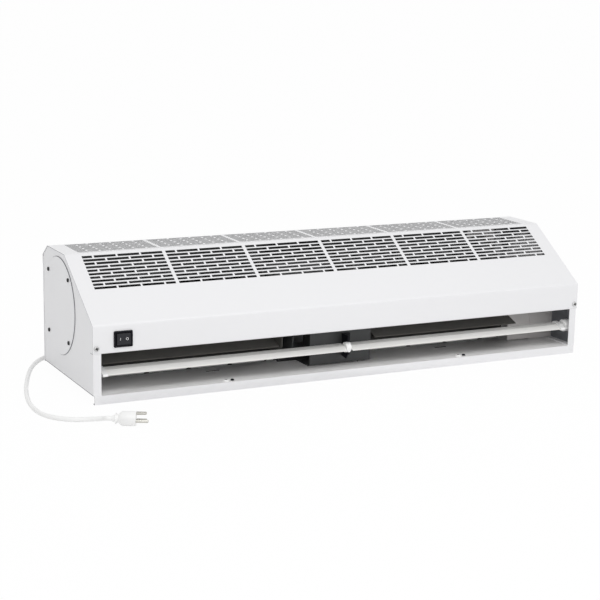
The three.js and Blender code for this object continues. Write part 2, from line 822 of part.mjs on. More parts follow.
function addBlowers() {
  const leftMid = leftBlower[0] + frameSheet / 2;
  const rightMid = rightBlower[1] - frameSheet / 2;
  addPart('left_volute', makeVolute(leftBlower[0], leftVoluteEnd, leftNotchMiddle), 'darkSheet');
  addPart('right_volute', makeVolute(rightBlower[0] - 2, rightVoluteEnd, rightNotchMiddle), 'darkSheet');
  const seated = [plateSeatDepth, plateSeatHeight];
  const winged = [plateFrontDepth, ductFrontHeight];
  const sidePlates = [
    ['left_outer', leftBlower[0], rubberRadius + fit, seated],
    ['left_inner', leftBlower[1] - frameSheet, bearingRadius, winged],
    ['right_inner', rightBlower[0], bearingRadius, seated],
    ['right_outer', rightBlower[1] - frameSheet, rubberRadius + fit, seated],
  ];
  for (const [name, x, holeRadius, place] of sidePlates) {
    addPart(`${name}_side_plate`, makeSidePlate(x, holeRadius, ...place), 'darkSheet');
  }
  addPart('left_tongue', makeTongue(leftBlower[0] + frameSheet, leftBlower[1] - frameSheet), 'darkSheet');
  addPart('right_tongue', makeTongue(rightBlower[0] + frameSheet, rightBlower[1] - frameSheet), 'darkSheet');

  const rotor = addGroup(0, axisY, axisZ);
  const wheelInset = frameSheet + wheelGap;
  const spans = { left_wheel: leftBlower, right_wheel: rightBlower };
  for (const [name, [from, to]] of Object.entries(spans)) {
    const wheel = addPart(name, makeWheel(to - from - 2 * wheelInset), 'wheelSteel', rotor);
    wheel.position.x = from + wheelInset;
  }
  const shaft = alongX(
    circle(0, 0, shaftRadius, 12), leftMid - bearingWidth / 2 - 2, rightMid + bearingWidth / 2 + 2,
  );
  addPart('shaft', shaft, 'plated', rotor);

  for (const [side, x] of [['left', leftMid], ['right', rightMid]]) {
    const bearing = addPart(`${side}_bearing`, makeRing(bearingRadius, bearingBore, bearingWidth), 'plated');
    bearing.position.x = x;
    const rubber = makeRing(rubberRadius, bearingRadius + fit, bearingWidth + 1);
    addPart(`${side}_bearing_rubber`, rubber, 'rubber').position.x = x;
  }
}

// Motor

function makeMotor() {
  const half = motorLength / 2;
  const shoulder = motorRadius * 0.16;
  const body = turned([
    [-half - motorBossLength, 0],
    [-half - motorBossLength, motorBossRadius],
    [-half, motorBossRadius],
    [-half, motorRadius - shoulder],
    [-half + shoulder, motorRadius],
    [half - shoulder, motorRadius],
    [half, motorRadius - shoulder],
    [half, motorBossRadius],
    [half + motorBossLength, motorBossRadius],
    [half + motorBossLength, 0],
  ], 20);
  return cut(body, alongX(circle(0, 0, shaftRadius + fit, 12), -motorLength, motorLength));
}

// Two cheeks on a foot; the motor's end bosses sit in them
function makeCradle() {
  const nearY = front + plateFrontDepth - 1;
  const low = floorHeight + fit;
  const footRear = nearY + cradleFootDepth;
  const headRadius = motorBossRadius + 12;
  const outline = [
    point(nearY, low),
    point(footRear, low),
    point(footRear, floorHeight + cradleLift),
    point(axisY + headRadius, floorHeight + cradleLift),
    ...arc(axisY, axisZ, headRadius, 0, 150, 8),
    point(nearY, floorHeight + motorPlateHeight),
  ];
  const left = cradleCentreX - cradleSpan / 2;
  const right = cradleCentreX + cradleSpan / 2;
  const cheeks = [left, right].map((x) => alongX(outline, x - cradleSheet / 2, x + cradleSheet / 2));
  const plateBack = front + motorPlateDepth + frameSheet + fit;
  const behindPlate = block(right - 5, right + 5, nearY - 1, plateBack, 0, caseHeight);
  const foot = block(left, right, front + motorPlateDepth + 6, footRear, low, low + cradleSheet);
  const rail = block(
    left, right, footRear - cradleSheet, footRear, low, floorHeight + cradleLift,
  );
  const seats = alongX(circle(axisY, axisZ, motorBossRadius + 2 * fit, 16), left - 5, right + 5);
  return cut(join(cheeks[0], cut(cheeks[1], behindPlate), foot, rail), seats);
}

function makeMotorPlate() {
  const y = front + motorPlateDepth;
  const [from, to] = motorPlateX;
  const path = [
    point(from, y + motorPlateReturn),
    point(from, y),
    point(to, y),
  ];
  return alongZ(
    bentSheet(path, -frameSheet).reverse(), floorHeight + cradleSheet + 2 * fit, floorHeight + motorPlateHeight - 4,
  );
}

// Wiring

function makeWiringTray() {
  const y = front + trayFrontDepth;
  const path = [
    point(y, floorHeight + fit),
    point(y, floorHeight + trayRise),
    point(y + trayShelf, floorHeight + trayRise),
    point(y + trayShelf, floorHeight + trayRise - trayReturn),
  ];
  const tray = alongX(bentSheet(path, frameSheet), trayLeftX, capInnerX - fit);
  const flangeEdge = capOuterX - capFlange - fit;
  return cut(tray, block(flangeEdge, halfWidth, y - 1, y + trayShelf, floorHeight, floorHeight + frameSheet + fit));
}

const trayMiddleX = (trayLeftX + capInnerX - fit) / 2;
const trayTop = floorHeight + trayRise + fit;

function makeCapacitor() {
  const [width, depth, height] = capacitorSize;
  const y0 = front + trayFrontDepth + 6;
  const bevel = 2;
  const outline = [
    point(-width / 2, 0), point(width / 2, 0), point(width / 2, height - bevel),
    point(width / 2 - bevel, height), point(-width / 2 + bevel, height), point(-width / 2, height - bevel),
  ];
  return alongY(outline.map((p) => point(p.x + trayMiddleX, p.y + trayTop)), y0, y0 + depth);
}

function makeCapacitorStrap() {
  const [width, depth, height] = capacitorSize;
  const reach = width / 2 + fit;
  const foot = (capInnerX - trayLeftX) / 2 - 1;
  const y = front + trayFrontDepth + 6 + depth / 2;
  const path = [
    point(-foot, 0), point(-reach, 0), point(-reach, height + fit),
    point(reach, height + fit), point(reach, 0), point(foot, 0),
  ].map((p) => point(p.x + trayMiddleX, p.y + trayTop));
  return alongY(bentSheet(path, -strapSheet).reverse(), y - strapWidth / 2, y + strapWidth / 2);
}

function makeTerminalBlock() {
  const [width, depth, height] = terminalSize;
  const y0 = front + trayFrontDepth + capacitorSize[1] + 14;
  const base = block(trayMiddleX - width / 2, trayMiddleX + width / 2, y0, y0 + depth, trayTop, trayTop + height);
  const pitch = depth / terminalWays;
  const gaps = [];
  for (let i = 1; i < terminalWays; i += 1) {
    const y = y0 + i * pitch;
    gaps.push(block(
      trayMiddleX - width, trayMiddleX + width, y - pitch * 0.12, y + pitch * 0.12,
      trayTop + height * 0.55, trayTop + height + 1,
    ));
  }
  return cut(base, ...gaps);
}

// Mains cord

function polygonShape(radius, sides) {
  return new THREE.Shape(circle(0, 0, radius, sides));
}

function tube(curve, radius, sides, steps) {
  const geometry = new THREE.ExtrudeGeometry(polygonShape(radius, sides), {
    steps, extrudePath: curve, bevelEnabled: false,
  });
  return solid(geometry);
}

// Centreline radius at an angle from the coil's middle, where the spiral turns from inwards to outwards
function coilRadius(fromMiddle) {
  const away = Math.hypot(fromMiddle, coilSoftness) - coilSoftness;
  return coilInner + (coilPitch * away) / (Math.PI * 2);
}

// Where the coil's centreline is after the given angle, in radians, wound clockwise from above
function coilPoint(turned) {
  const fromMiddle = turned - coilTurns * Math.PI;
  const radius = coilRadius(fromMiddle);
  const climb = THREE.MathUtils.smoothstep(fromMiddle, -Math.PI / 2, Math.PI / 2);
  const angle = -Math.PI / 2 - turned;
  return new THREE.Vector3(
    coilCentre[0] + radius * Math.cos(angle),
    coilCentre[1] + radius * Math.sin(angle),
    coilBase + coilLayer * climb,
  );
}

function coilPoints() {
  const steps = coilTurns * coilStepsPerTurn;
  const points = [];
  for (let i = 0; i <= steps; i += 1) points.push(coilPoint((i / coilStepsPerTurn) * Math.PI * 2));
  const first = points[0];
  const last = points[points.length - 1];
  const lead = 2 * cordRadius;
  points.unshift(first.clone().add(new THREE.Vector3(lead, 0, 0)));
  points.push(last.clone().add(new THREE.Vector3(-lead, 0, 0)));
  return points;
}

// A tube through the given points with one ring at each, its section square to the path
function wornTube(points, radius, sides) {
  const rings = points.map((here, i) => {
    const before = points[Math.max(i - 1, 0)];
    const after = points[Math.min(i + 1, points.length - 1)];
    const heading = after.clone().sub(before).normalize();
    if (i === 0 || i === points.length - 1) heading.set(Math.sign(heading.x), 0, 0);
    const sideways = new THREE.Vector3().crossVectors(unitZ, heading).normalize();
    const upward = new THREE.Vector3().crossVectors(heading, sideways);
    return circle(0, 0, radius, sides).map((p) => (
      here.clone().addScaledVector(sideways, p.x).addScaledVector(upward, p.y)
    ));
  });
  return solid(loft(rings));
}

// Least free gap of the coil to itself, measured between points more than half a turn apart
function coilSelfGap() {
  const samples = [];
  const fine = 96;
  for (let i = 0; i <= coilTurns * fine; i += 1) samples.push(coilPoint((i / fine) * Math.PI * 2));
  let least = Infinity;
  for (let i = 0; i < samples.length; i += 1) {
    for (let j = i + fine / 2; j < samples.length; j += 1) {
      least = Math.min(least, samples[i].distanceTo(samples[j]));
    }
  }
  return least - 2 * cordRadius;
}

function makeCoilTie() {
  const inner = coilRadius(Math.PI) - cordRadius - 3 * fit;
  const outer = coilRadius((coilTurns - 1) * Math.PI) + cordRadius + 2 * fit;
  const low = tieSheet + 0.1;
  const high = coilBase + coilLayer + cordRadius + fit;
  const [x, y] = coilCentre;
  const whole = block(
    x - tieWidth / 2, x + tieWidth / 2, y + inner - tieSheet, y + outer + tieSheet, low - tieSheet, high + tieSheet,
  );
  return cut(whole, block(x - tieWidth, x + tieWidth, y + inner, y + outer, low, high));
}

// From the gland down to the floor and into the coil
const exitRoute = [
  [0, 0, 0], [0, 8, 0], [-1, 16, -1.5], [-6, 26, -6.5], [-15, 34.5, -13.5], [-27, 39, -20.5],
  [-40, 40.3, -24.6], [-53, 40.3, -25.6],
];

// From the coil round the case's rear corner to the plug: x from the case's left edge, y and z in place
const runRoute = [
  [89, 200.4, 10.6], [72, 200, 6.8], [57, 198.6, 4.4], [42, 195.7, cordFloor], [27, 190.7, cordFloor],
  [13.1, 183, cordFloor], [-0.3, 173.5, cordFloor], [-17.6, 151, cordFloor], [-35.8, 118.8, cordFloor],
  [-53.2, 77, cordFloor], [-71.3, 23.8, cordFloor], [-86.8, -34.2, cordFloor], [-93.5, -80.9, cordFloor],
  [-93.3, -116.9, cordFloor], [-88.8, -148, cordFloor], [-77, -174.4, 3.8], [-60, -193.1, 4.8],
  [-42.3, -209.4, 6.8], [-25.5, -223.9, 9.2],
];

function smooth(points) {
  return new THREE.CatmullRomCurve3(points, false, 'centripetal');
}

function glandEnd() {
  return new THREE.Vector3(glandX, panelOuter + glandLength + fit, glandHeight);
}

function makeCordExit() {
  const start = glandEnd();
  const points = exitRoute.map(([x, y, z]) => start.clone().add(new THREE.Vector3(x, y, z)));
  const coilStart = coilPoints()[0];
  points.push(coilStart.clone().add(new THREE.Vector3(2 * cordRadius, 0, 0)));
  points.push(coilStart.clone().add(new THREE.Vector3(fit, 0, 0)));
  return tube(smooth(points), cordRadius, cordSides, 14);
}

function makeCordRun() {
  const ends = coilPoints();
  const start = ends[ends.length - 1];
  const points = [
    start.clone().add(new THREE.Vector3(-fit, 0, 0)),
    start.clone().add(new THREE.Vector3(-2 * cordRadius, 0, 0)),
    ...runRoute.map(([x, y, z]) => new THREE.Vector3(x - halfWidth, y, z)),
    ...plugApproach(),
  ];
  return tube(smooth(points), cordRadius, cordSides, 44);
}

const plugHeading = new THREE.Vector3(
  Math.cos(THREE.MathUtils.degToRad(plugAngle)), Math.sin(THREE.MathUtils.degToRad(plugAngle)), 0,
);
const plugStart = new THREE.Vector3(plugPlace[0] - halfWidth, plugPlace[1], plugRestHeight());

function plugApproach() {
  const ahead = plugStart.clone().addScaledVector(plugHeading, -fit);
  const straight = plugStart.clone().addScaledVector(plugHeading, -2 * cordRadius - fit);
  return [straight, ahead];
}

// Height of the plug's own axis when its rolled body rests on the floor
function plugRestHeight() {
  const roll = THREE.MathUtils.degToRad(plugRoll);
  const drops = plugRing(0, plugHalfWidth, plugHalfDepth, 3).map((p) => p.y * Math.sin(roll) + p.z * Math.cos(roll));
  return Math.max(...drops.map((drop) => -drop)) + 0.1;
}

// Tapered strain relief along +Y, with a flange outside and a nut inside the panel
function makeGland() {
  const profile = turned([
    [-frameSheet - fit - 4, 0],
    [-frameSheet - fit - 4, glandRadius * 1.4],
    [-frameSheet - fit, glandRadius * 1.4],
    [-frameSheet - fit, glandRadius],
    [fit, glandRadius],
    [fit, glandRadius * 1.35],
    [fit + glandFlange, glandRadius * 1.35],
    [fit + glandFlange, glandRadius * 0.9],
    [glandLength, cordRadius + 1],
    [glandLength, 0],
  ], glandSides);
  return profile.rotate([0, 0, 90]).translate([glandX, panelOuter, glandHeight]);
}

function plugRing(x, halfWidth, halfHeight, power) {
  const sides = 12;
  const ring = [];
  for (let i = 0; i < sides; i += 1) {
    const angle = ((i + 0.5) / sides) * Math.PI * 2;
    const c = Math.cos(angle);
    const s = Math.sin(angle);
    const y = halfWidth * Math.sign(c) * Math.abs(c) ** (2 / power);
    const z = halfHeight * Math.sign(s) * Math.abs(s) ** (2 / power);
    ring.push(new THREE.Vector3(x, y, z));
  }
  return ring;
}

function addPlug() {
  const plug = addGroup(plugStart.x, plugStart.y, plugStart.z);
  plug.rotation.set(0, 0, THREE.MathUtils.degToRad(plugAngle));
  const roll = new THREE.Group();
  roll.rotation.x = THREE.MathUtils.degToRad(plugRoll);
  plug.add(roll);
  const reach = plugLength;
  const rings = [
    plugRing(0, cordRadius + 1, cordRadius + 1, 2),
    plugRing(reach * 0.13, cordRadius + 2, cordRadius + 2, 2),
    plugRing(reach * 0.14, plugCollarRadius, plugCollarRadius, 2),
    plugRing(reach * 0.19, plugCollarRadius, plugCollarRadius, 2),
    plugRing(reach * 0.2, plugNeckRadius, plugNeckRadius, 2),
    plugRing(reach * 0.27, plugNeckRadius, plugNeckRadius, 2),
    plugRing(reach * 0.38, plugHalfWidth, plugHalfDepth, 3),
    plugRing(reach - 1.5, plugHalfWidth, plugHalfDepth, 3),
    plugRing(reach, plugHalfWidth - 1, plugHalfDepth - 1, 3),
  ];
  const bladeRise = pinOffset * 0.42;
  addPart('plug_body', solid(loft(rings)), 'cordPlastic', roll);
  const bladeFrom = plugLength + fit;
  for (const [name, side] of [['plug_blade_line', 1], ['plug_blade_neutral', -1]]) {
    const y = (side * bladeSpacing) / 2;
    addPart(name, block(
      bladeFrom, bladeFrom + bladeLength, y - bladeThickness / 2, y + bladeThickness / 2,
      bladeRise - bladeWidth / 2, bladeRise + bladeWidth / 2,
    ), 'plated', roll);
  }
  const pin = turned([
    [bladeFrom, 0], [bladeFrom, pinRadius], [bladeFrom + pinLength - 2, pinRadius],
    [bladeFrom + pinLength, pinRadius * 0.55], [bladeFrom + pinLength, 0],
  ], 12);
  addPart('plug_ground_pin', pin.translate([0, 0, bladeRise - pinOffset]), 'plated', roll);
}

// Assembly

addPart('base_plate', makeBasePlate(), 'paint');
addPart('cover', makeCover(), 'paint');
addPart('rear_panel', makeRearPanel(), 'paint');
addPart('wall_bracket', makeWallBracket(), 'galvanised');

for (const [name, side] of [['left', -1], ['right', 1]]) {
  addPart(`${name}_end_cap`, makeEndCap(side), 'paint');
  addPart(`${name}_round_cover`, makeRoundCover(side), 'paint');
  const turn = side > 0 ? 0 : Math.PI;
  discScrewPlaces().forEach(([y, z], index) => {
    addScrew(`${name}_cover_screw_${index + 1}`, side * (capOuterX + discSheet + fit), y, z, turn);
  });
  addScrew(`${name}_front_screw`, side * (halfWidth - frontScrewInset), front - fit, frontScrewZ, -Math.PI / 2);
  addScrew(
    `${name}_floor_screw`, side * floorSlotX + floorScrewOffset, front + floorScrewDepth, floorHeight + fit,
    0, -Math.PI / 2,
  );
}

const switchHolder = addGroup(switchCentreX, front, switchZ);
addPart('switch_housing', makeSwitchHousing(), 'blackPlastic', switchHolder);
const rocker = addPart('switch_rocker', makeRocker(), 'blackPlastic', switchHolder);
rocker.position.y = rockerPivotDepth - bezelThickness;

const vane = addGroup(0, pivotY, pivotZ);
vane.rotation.x = THREE.MathUtils.degToRad(vaneTilt);
addPart('vane_blade', makeVaneBlade(), 'vanePlastic', vane);
addPart('left_vane_cap', makeVaneCap(-1), 'vanePlastic', vane);
addPart('right_vane_cap', makeVaneCap(1), 'vanePlastic', vane);
addPart('left_vane_bearing', makeVaneBearing(-1), 'vanePlastic');
addPart('right_vane_bearing', makeVaneBearing(1), 'vanePlastic');
addPart('vane_clip', makeVaneClip(), 'vanePlastic');
addPart('vane_bracket', makeVaneBracket(), 'motorSteel');

addPart('motor_plate', makeMotorPlate(), 'motorSteel');
addPart('motor_cradle', makeCradle(), 'motorSteel');
const motor = addPart('motor_casing', makeMotor(), 'motorSteel');
motor.position.set(cradleCentreX, axisY, axisZ);
addBlowers();

addPart('wiring_tray', makeWiringTray(), 'galvanised');
addPart('capacitor', makeCapacitor(), 'cordPlastic');
addPart('capacitor_strap', makeCapacitorStrap(), 'galvanised');
addPart('terminal_block', makeTerminalBlock(), 'cordPlastic');

addPart('cord_gland', makeGland(), 'cordPlastic');
addPart('cord_exit', makeCordExit(), 'cordPlastic');
addPart('cord_coil', wornTube(coilPoints(), cordRadius, coilSides), 'cordPlastic');
addPart('cord_tie', makeCoilTie(), 'blackPlastic');
addPart('cord_run', makeCordRun(), 'cordPlastic');
addPlug();
console.log(`coil: least gap to itself ${coilSelfGap().toFixed(2)} mm`);

export default airCurtain;
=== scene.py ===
import json
import math

import bmesh
import bpy
from mathutils import Matrix, Vector

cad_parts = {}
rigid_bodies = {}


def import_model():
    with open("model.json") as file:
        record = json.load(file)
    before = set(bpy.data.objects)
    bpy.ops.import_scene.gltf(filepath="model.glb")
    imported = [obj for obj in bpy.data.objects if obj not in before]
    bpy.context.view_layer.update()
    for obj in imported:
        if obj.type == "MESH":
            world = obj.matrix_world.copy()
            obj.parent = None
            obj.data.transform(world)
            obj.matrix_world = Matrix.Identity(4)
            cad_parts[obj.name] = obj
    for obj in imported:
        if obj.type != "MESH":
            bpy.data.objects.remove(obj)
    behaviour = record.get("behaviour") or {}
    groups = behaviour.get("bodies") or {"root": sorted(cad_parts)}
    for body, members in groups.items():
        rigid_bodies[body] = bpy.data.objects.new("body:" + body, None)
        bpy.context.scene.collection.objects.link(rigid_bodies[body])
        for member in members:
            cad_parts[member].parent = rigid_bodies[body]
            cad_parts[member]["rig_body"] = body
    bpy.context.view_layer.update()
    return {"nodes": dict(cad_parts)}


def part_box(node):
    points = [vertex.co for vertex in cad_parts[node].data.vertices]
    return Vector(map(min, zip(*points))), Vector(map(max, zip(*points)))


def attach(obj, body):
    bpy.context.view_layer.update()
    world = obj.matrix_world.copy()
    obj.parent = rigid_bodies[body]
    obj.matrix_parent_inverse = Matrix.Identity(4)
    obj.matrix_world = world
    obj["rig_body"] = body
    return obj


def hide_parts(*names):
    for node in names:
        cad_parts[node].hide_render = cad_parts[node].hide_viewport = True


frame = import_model()
nodes = frame["nodes"]
mm = 0.001
print("frame loaded:", len(nodes), "nodes")


# Small helpers for modelling by hand in code

def clearSelection():
    if bpy.context.mode != "OBJECT":
        bpy.ops.object.mode_set(mode="OBJECT")
    bpy.ops.object.select_all(action="DESELECT")


def pick(piece):
    clearSelection()
    piece.select_set(True)
    bpy.context.view_layer.objects.active = piece


def startEdit(piece):
    pick(piece)
    bpy.ops.object.mode_set(mode="EDIT")
    bpy.ops.mesh.select_all(action="SELECT")


def endEdit():
    bpy.ops.object.mode_set(mode="OBJECT")


# selects in edit mode the edges or faces whose middle passes the test
def choose(kind, test):
    mesh = bpy.context.edit_object.data
    bpy.ops.mesh.select_mode(type=kind)
    bpy.ops.mesh.select_all(action="DESELECT")
    shape = bmesh.from_edit_mesh(mesh)
    for item in shape.edges if kind == "EDGE" else shape.faces:
        if kind == "EDGE":
            middle = (item.verts[0].co + item.verts[1].co) / 2
        else:
            middle = item.calc_center_median()
        if test(middle, item):
            item.select_set(True)
    shape.select_flush_mode()
    bmesh.update_edit_mesh(mesh)


def extrude(*step):
    bpy.ops.mesh.extrude_region_move(TRANSFORM_OT_translate={"value": step})


# bevels the chosen edges, or the rims of the chosen faces
def bevelEdges(width, segments, profile=0.5):
    bpy.ops.mesh.bevel(offset=width * mm, segments=segments, profile=profile, affect="EDGES")


# cuts the whole mesh in edit mode along a plane
def sliceAll(at, along):
    bpy.ops.mesh.select_all(action="SELECT")
    bpy.ops.mesh.bisect(plane_co=at, plane_no=along)


def faceOutward():
    bpy.ops.mesh.select_all(action="SELECT")
    bpy.ops.mesh.normals_make_consistent(inside=False)


# gives every vertex of the piece in edit mode a new place
def moveVertices(change):
    mesh = bpy.context.edit_object.data
    shape = bmesh.from_edit_mesh(mesh)
    for vertex in shape.verts:
        vertex.co = change(vertex.co.copy())
    bmesh.update_edit_mesh(mesh)


def modify(piece, kind, **settings):
    modifier = piece.modifiers.new(kind.title(), kind)
    for key, value in settings.items():
        setattr(modifier, key, value)
    pick(piece)
    bpy.ops.object.modifier_apply(modifier=modifier.name)


# moves a piece and writes its place into its mesh
def place(piece, location=(0, 0, 0), turn=(0, 0, 0)):
    bpy.context.view_layer.update()
    piece.matrix_world = (
        Matrix.Translation(location)
        @ Matrix.Rotation(turn[2], 4, "Z")
        @ Matrix.Rotation(turn[1], 4, "Y")
        @ Matrix.Rotation(turn[0], 4, "X")
        @ piece.matrix_world
    )
    pick(piece)
    bpy.ops.object.transform_apply(location=True, rotation=True, scale=True)


def smooth(piece, degrees=30.0, weighted=False):
    pick(piece)
    bpy.ops.object.shade_smooth_by_angle(angle=math.radians(degrees))
    if weighted:
        modify(piece, "WEIGHTED_NORMAL", keep_sharp=True, weight=100)


def link(thing):
    bpy.context.scene.collection.objects.link(thing)


def named(name):
    piece = bpy.context.view_layer.objects.active
    piece.name = name
    piece.data.name = name
    return piece


# a block between two corners, ready to be shaped
def addBlock(name, low, high):
    clearSelection()
    middle = [(a + b) / 2 for a, b in zip(low, high)]
    bpy.ops.mesh.primitive_cube_add(size=1.0, location=middle)
    piece = named(name)
    piece.scale = [b - a for a, b in zip(low, high)]
    place(piece)
    return piece


# a round blank along Z
def addRound(name, radius, depth, sides=48, location=(0, 0, 0)):
    clearSelection()
    bpy.ops.mesh.primitive_cylinder_add(
        vertices=sides, radius=radius, depth=depth, location=location, end_fill_type="NGON"
    )
    piece = named(name)
    place(piece)
    return piece


# opens a disc to a ring of the given width
def openRing(piece, width):
    startEdit(piece)
    choose("FACE", lambda c, f: len(f.verts) > 4)
    bpy.ops.mesh.inset(thickness=width)
    bpy.ops.mesh.bridge_edge_loops()
    endEdit()


def roundEdges(piece, width, segments=2, degrees=30.0):
    modify(
        piece, "BEVEL", width=width, segments=segments, limit_method="ANGLE",
        angle_limit=math.radians(degrees), use_clamp_overlap=True, miter_outer="MITER_ARC",
    )


def joinPieces(pieces, name):
    clearSelection()
    for piece in pieces:
        piece.select_set(True)
    bpy.context.view_layer.objects.active = pieces[0]
    bpy.ops.object.join()
    return named(name)


def duplicate(piece, name):
    twin = piece.copy()
    twin.data = piece.data.copy()
    twin.name = name
    twin.data.name = name
    link(twin)
    return twin


def discard(*pieces):
    for piece in pieces:
        bpy.data.objects.remove(piece)


def dress(piece, material, body, slot, *standsFor):
    piece.data.materials.clear()
    piece.data.materials.append(material)
    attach(piece, body)
    if standsFor:
        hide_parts(*standsFor)


def finish(piece, degrees, material, body, slot, *standsFor, weighted=False):
    smooth(piece, degrees, weighted)
    dress(piece, material, body, slot, *standsFor)


def bodyOf(node):
    return nodes[node]["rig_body"]


def boxOf(node):
    low, high = (Vector(corner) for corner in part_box(node))
    return low, high, (low + high) / 2


def slicePiece(piece, at, along):
    startEdit(piece)
    sliceAll([value * mm for value in at], along)
    endEdit()


# gives the faces that pass the test another material
def coatFaces(piece, material, test):
    piece.data.materials.append(material)
    last = len(piece.data.materials) - 1
    for polygon in piece.data.polygons:
        if test(polygon.center, polygon.normal):
            polygon.material_index = last


# camelCase name of a CAD node
def plainName(node):
    first, *others = node.split("_")
    return first + "".join(word.title() for word in others)


# a copy of a CAD piece with its faces merged and its edges rounded by some millimetres
def softened(node, width, material, slot, segments=2, name=None):
    degrees = 25.0
    piece = bpy.data.objects.new(name or plainName(node), nodes[node].data.copy())
    link(piece)
    startEdit(piece)
    bpy.ops.mesh.remove_doubles(threshold=0.002 * mm)
    bpy.ops.mesh.dissolve_limited(angle_limit=math.radians(0.5))
    endEdit()
    roundEdges(piece, width * mm, segments, degrees)
    smooth(piece, degrees + 8, weighted=True)
    dress(piece, material, bodyOf(node), slot, node)
    return piece


# Camera, at the photograph's place

cameraView = {
    "azimuth": -26.49,
    "elevation": 12.02,
    "roll": 1.07,
    "place": (-1.2022, -2.3366, 0.6653),
    "lens": 94.01,
    "sensor": 36.0,
}


def makeCamera(view):
    azimuth = math.radians(view["azimuth"])
    elevation = math.radians(view["elevation"])
    roll = math.radians(view["roll"])
    back = Vector((
        math.sin(azimuth) * math.cos(elevation),
        -math.cos(azimuth) * math.cos(elevation),
        math.sin(elevation),
    ))
    right = (-back).cross(Vector((0, 0, 1))).normalized()
    up = right.cross(-back)
    turnedRight = right * math.cos(roll) + up * math.sin(roll)
    turnedUp = up * math.cos(roll) - right * math.sin(roll)
    data = bpy.data.cameras.new("camera")
    data.lens = view["lens"]
    data.sensor_width = view["sensor"]
    data.clip_end = 50.0
    camera = bpy.data.objects.new("camera", data)
    link(camera)
    turn = Matrix((turnedRight, turnedUp, back)).transposed().to_4x4()
    camera.matrix_world = Matrix.Translation(view["place"]) @ turn
    bpy.context.scene.camera = camera


makeCamera(cameraView)
print("camera placed")


# Materials. Every pattern reads Object coordinates.

# a shader node with its input values and the sockets that feed it
def addNode(tree, kind, values={}, links={}):
    node = tree.nodes.new("ShaderNode" + kind)
    for socket, value in values.items():
        node.inputs[socket].default_value = value
    for socket, source in links.items():
        tree.links.new(source, node.inputs[socket])
    return node


def startMaterial(name, colour, roughness, metallic=0.0):
    material = bpy.data.materials.new(name)
    material.use_nodes = True
    tree = material.node_tree
    shader = tree.nodes["Principled BSDF"]
    shader.inputs["Base Color"].default_value = (*colour, 1.0)
    shader.inputs["Roughness"].default_value = roughness
    shader.inputs["Metallic"].default_value = metallic
    return material, tree, shader


def objectCoordinates(tree, stretch=(1, 1, 1)):
    source = addNode(tree, "TexCoord").outputs["Object"]
    return addNode(tree, "Mapping", {"Scale": stretch}, {"Vector": source}).outputs["Vector"]


def addNoise(tree, vector, scale, detail=2.0, roughness=0.5):
    values = {"Scale": scale, "Detail": detail, "Roughness": roughness}
    return addNode(tree, "TexNoise", values, {"Vector": vector}).outputs["Fac"]


def addRange(tree, value, low, high, fromLow=0.3, fromHigh=0.7):
    values = {"From Min": fromLow, "From Max": fromHigh, "To Min": low, "To Max": high}
    return addNode(tree, "MapRange", values, {"Value": value}).outputs["Result"]


def addTint(tree, value, colourA, colourB):
    mix = tree.nodes.new("ShaderNodeMix")
    mix.data_type = "RGBA"
    tree.links.new(value, mix.inputs[0])
    mix.inputs[6].default_value = (*colourA, 1.0)
    mix.inputs[7].default_value = (*colourB, 1.0)
    return mix.outputs[2]


def addBump(tree, height, distance, before=None):
    links = {"Height": height, "Normal": before} if before else {"Height": height}
    return addNode(tree, "Bump", {"Strength": 1.0, "Distance": distance}, links).outputs["Normal"]


def shade(colour, factor):
    return tuple(min(channel * factor, 1.0) for channel in colour)


# clouded colour, uneven gloss, a fine grain and, if asked, a slow wave in the sheet
def texturedMaterial(
    name, colour, roughness, metallic=0.0, grain=1500.0, grainDepth=0.02 * mm,
    cloud=6.0, cloudShare=0.02, roughSpread=0.05, wave=None, stretch=(1, 1, 1), shine=0.5,
):
    material, tree, shader = startMaterial(name, colour, roughness, metallic)
    shader.inputs["Specular IOR Level"].default_value = shine
    plain = objectCoordinates(tree)
    vector = objectCoordinates(tree, stretch) if stretch != (1, 1, 1) else plain
    clouds = addNoise(tree, plain, cloud, 4.0)
    tint = addTint(tree, clouds, shade(colour, 1 - cloudShare), shade(colour, 1 + cloudShare))
    tree.links.new(tint, shader.inputs["Base Color"])
    smudges = addNoise(tree, vector, cloud * 5, 5.0, 0.6)
    gloss = addRange(tree, smudges, roughness - roughSpread, roughness + roughSpread)
    tree.links.new(gloss, shader.inputs["Roughness"])
    normal = addBump(tree, addNoise(tree, vector, grain, 3.0), grainDepth)
    if wave:
        scale, depth = wave
        normal = addBump(tree, addNoise(tree, plain, scale, 1.0), depth, before=normal)
    tree.links.new(normal, shader.inputs["Normal"])
    return material


powderCoat = texturedMaterial(
    "powderCoat", (0.852, 0.852, 0.866), 0.42, grain=1300.0, grainDepth=0.03 * mm,
    cloud=4.0, cloudShare=0.012, wave=(9.0, 0.5 * mm),
)
# dark sheet colour; also painted shade on the volutes' middle band, on the floor under the volutes and on
# the wall bracket below the floor slots
darkCoat = texturedMaterial(
    "darkCoat", (0.112, 0.108, 0.099), 0.55, grainDepth=0.03 * mm,
    cloud=9.0, cloudShare=0.12, wave=(12.0, 0.6 * mm),
)
# slate colour of the end caps' inner walls; on the round covers' upper rims it is a painted shadow line
slateCoat = texturedMaterial(
    "slateCoat", (0.16, 0.165, 0.18), 0.5, grainDepth=0.03 * mm,
    cloud=9.0, cloudShare=0.1, wave=(12.0, 0.6 * mm),
)
# whiter than the case paint: painted light on the duct floor and at the front of the volutes' lower sheet
ductWhite = texturedMaterial(
    "ductWhite", (0.95, 0.945, 0.945), 0.42, grain=1300.0, grainDepth=0.03 * mm,
    cloud=8.0, wave=(9.0, 0.5 * mm),
)
# grey for painted shadow lines along edges, rims and gaps
edgeGrey = texturedMaterial("edgeGrey", (0.26, 0.26, 0.28), 0.55, cloud=20.0, cloudShare=0.08)
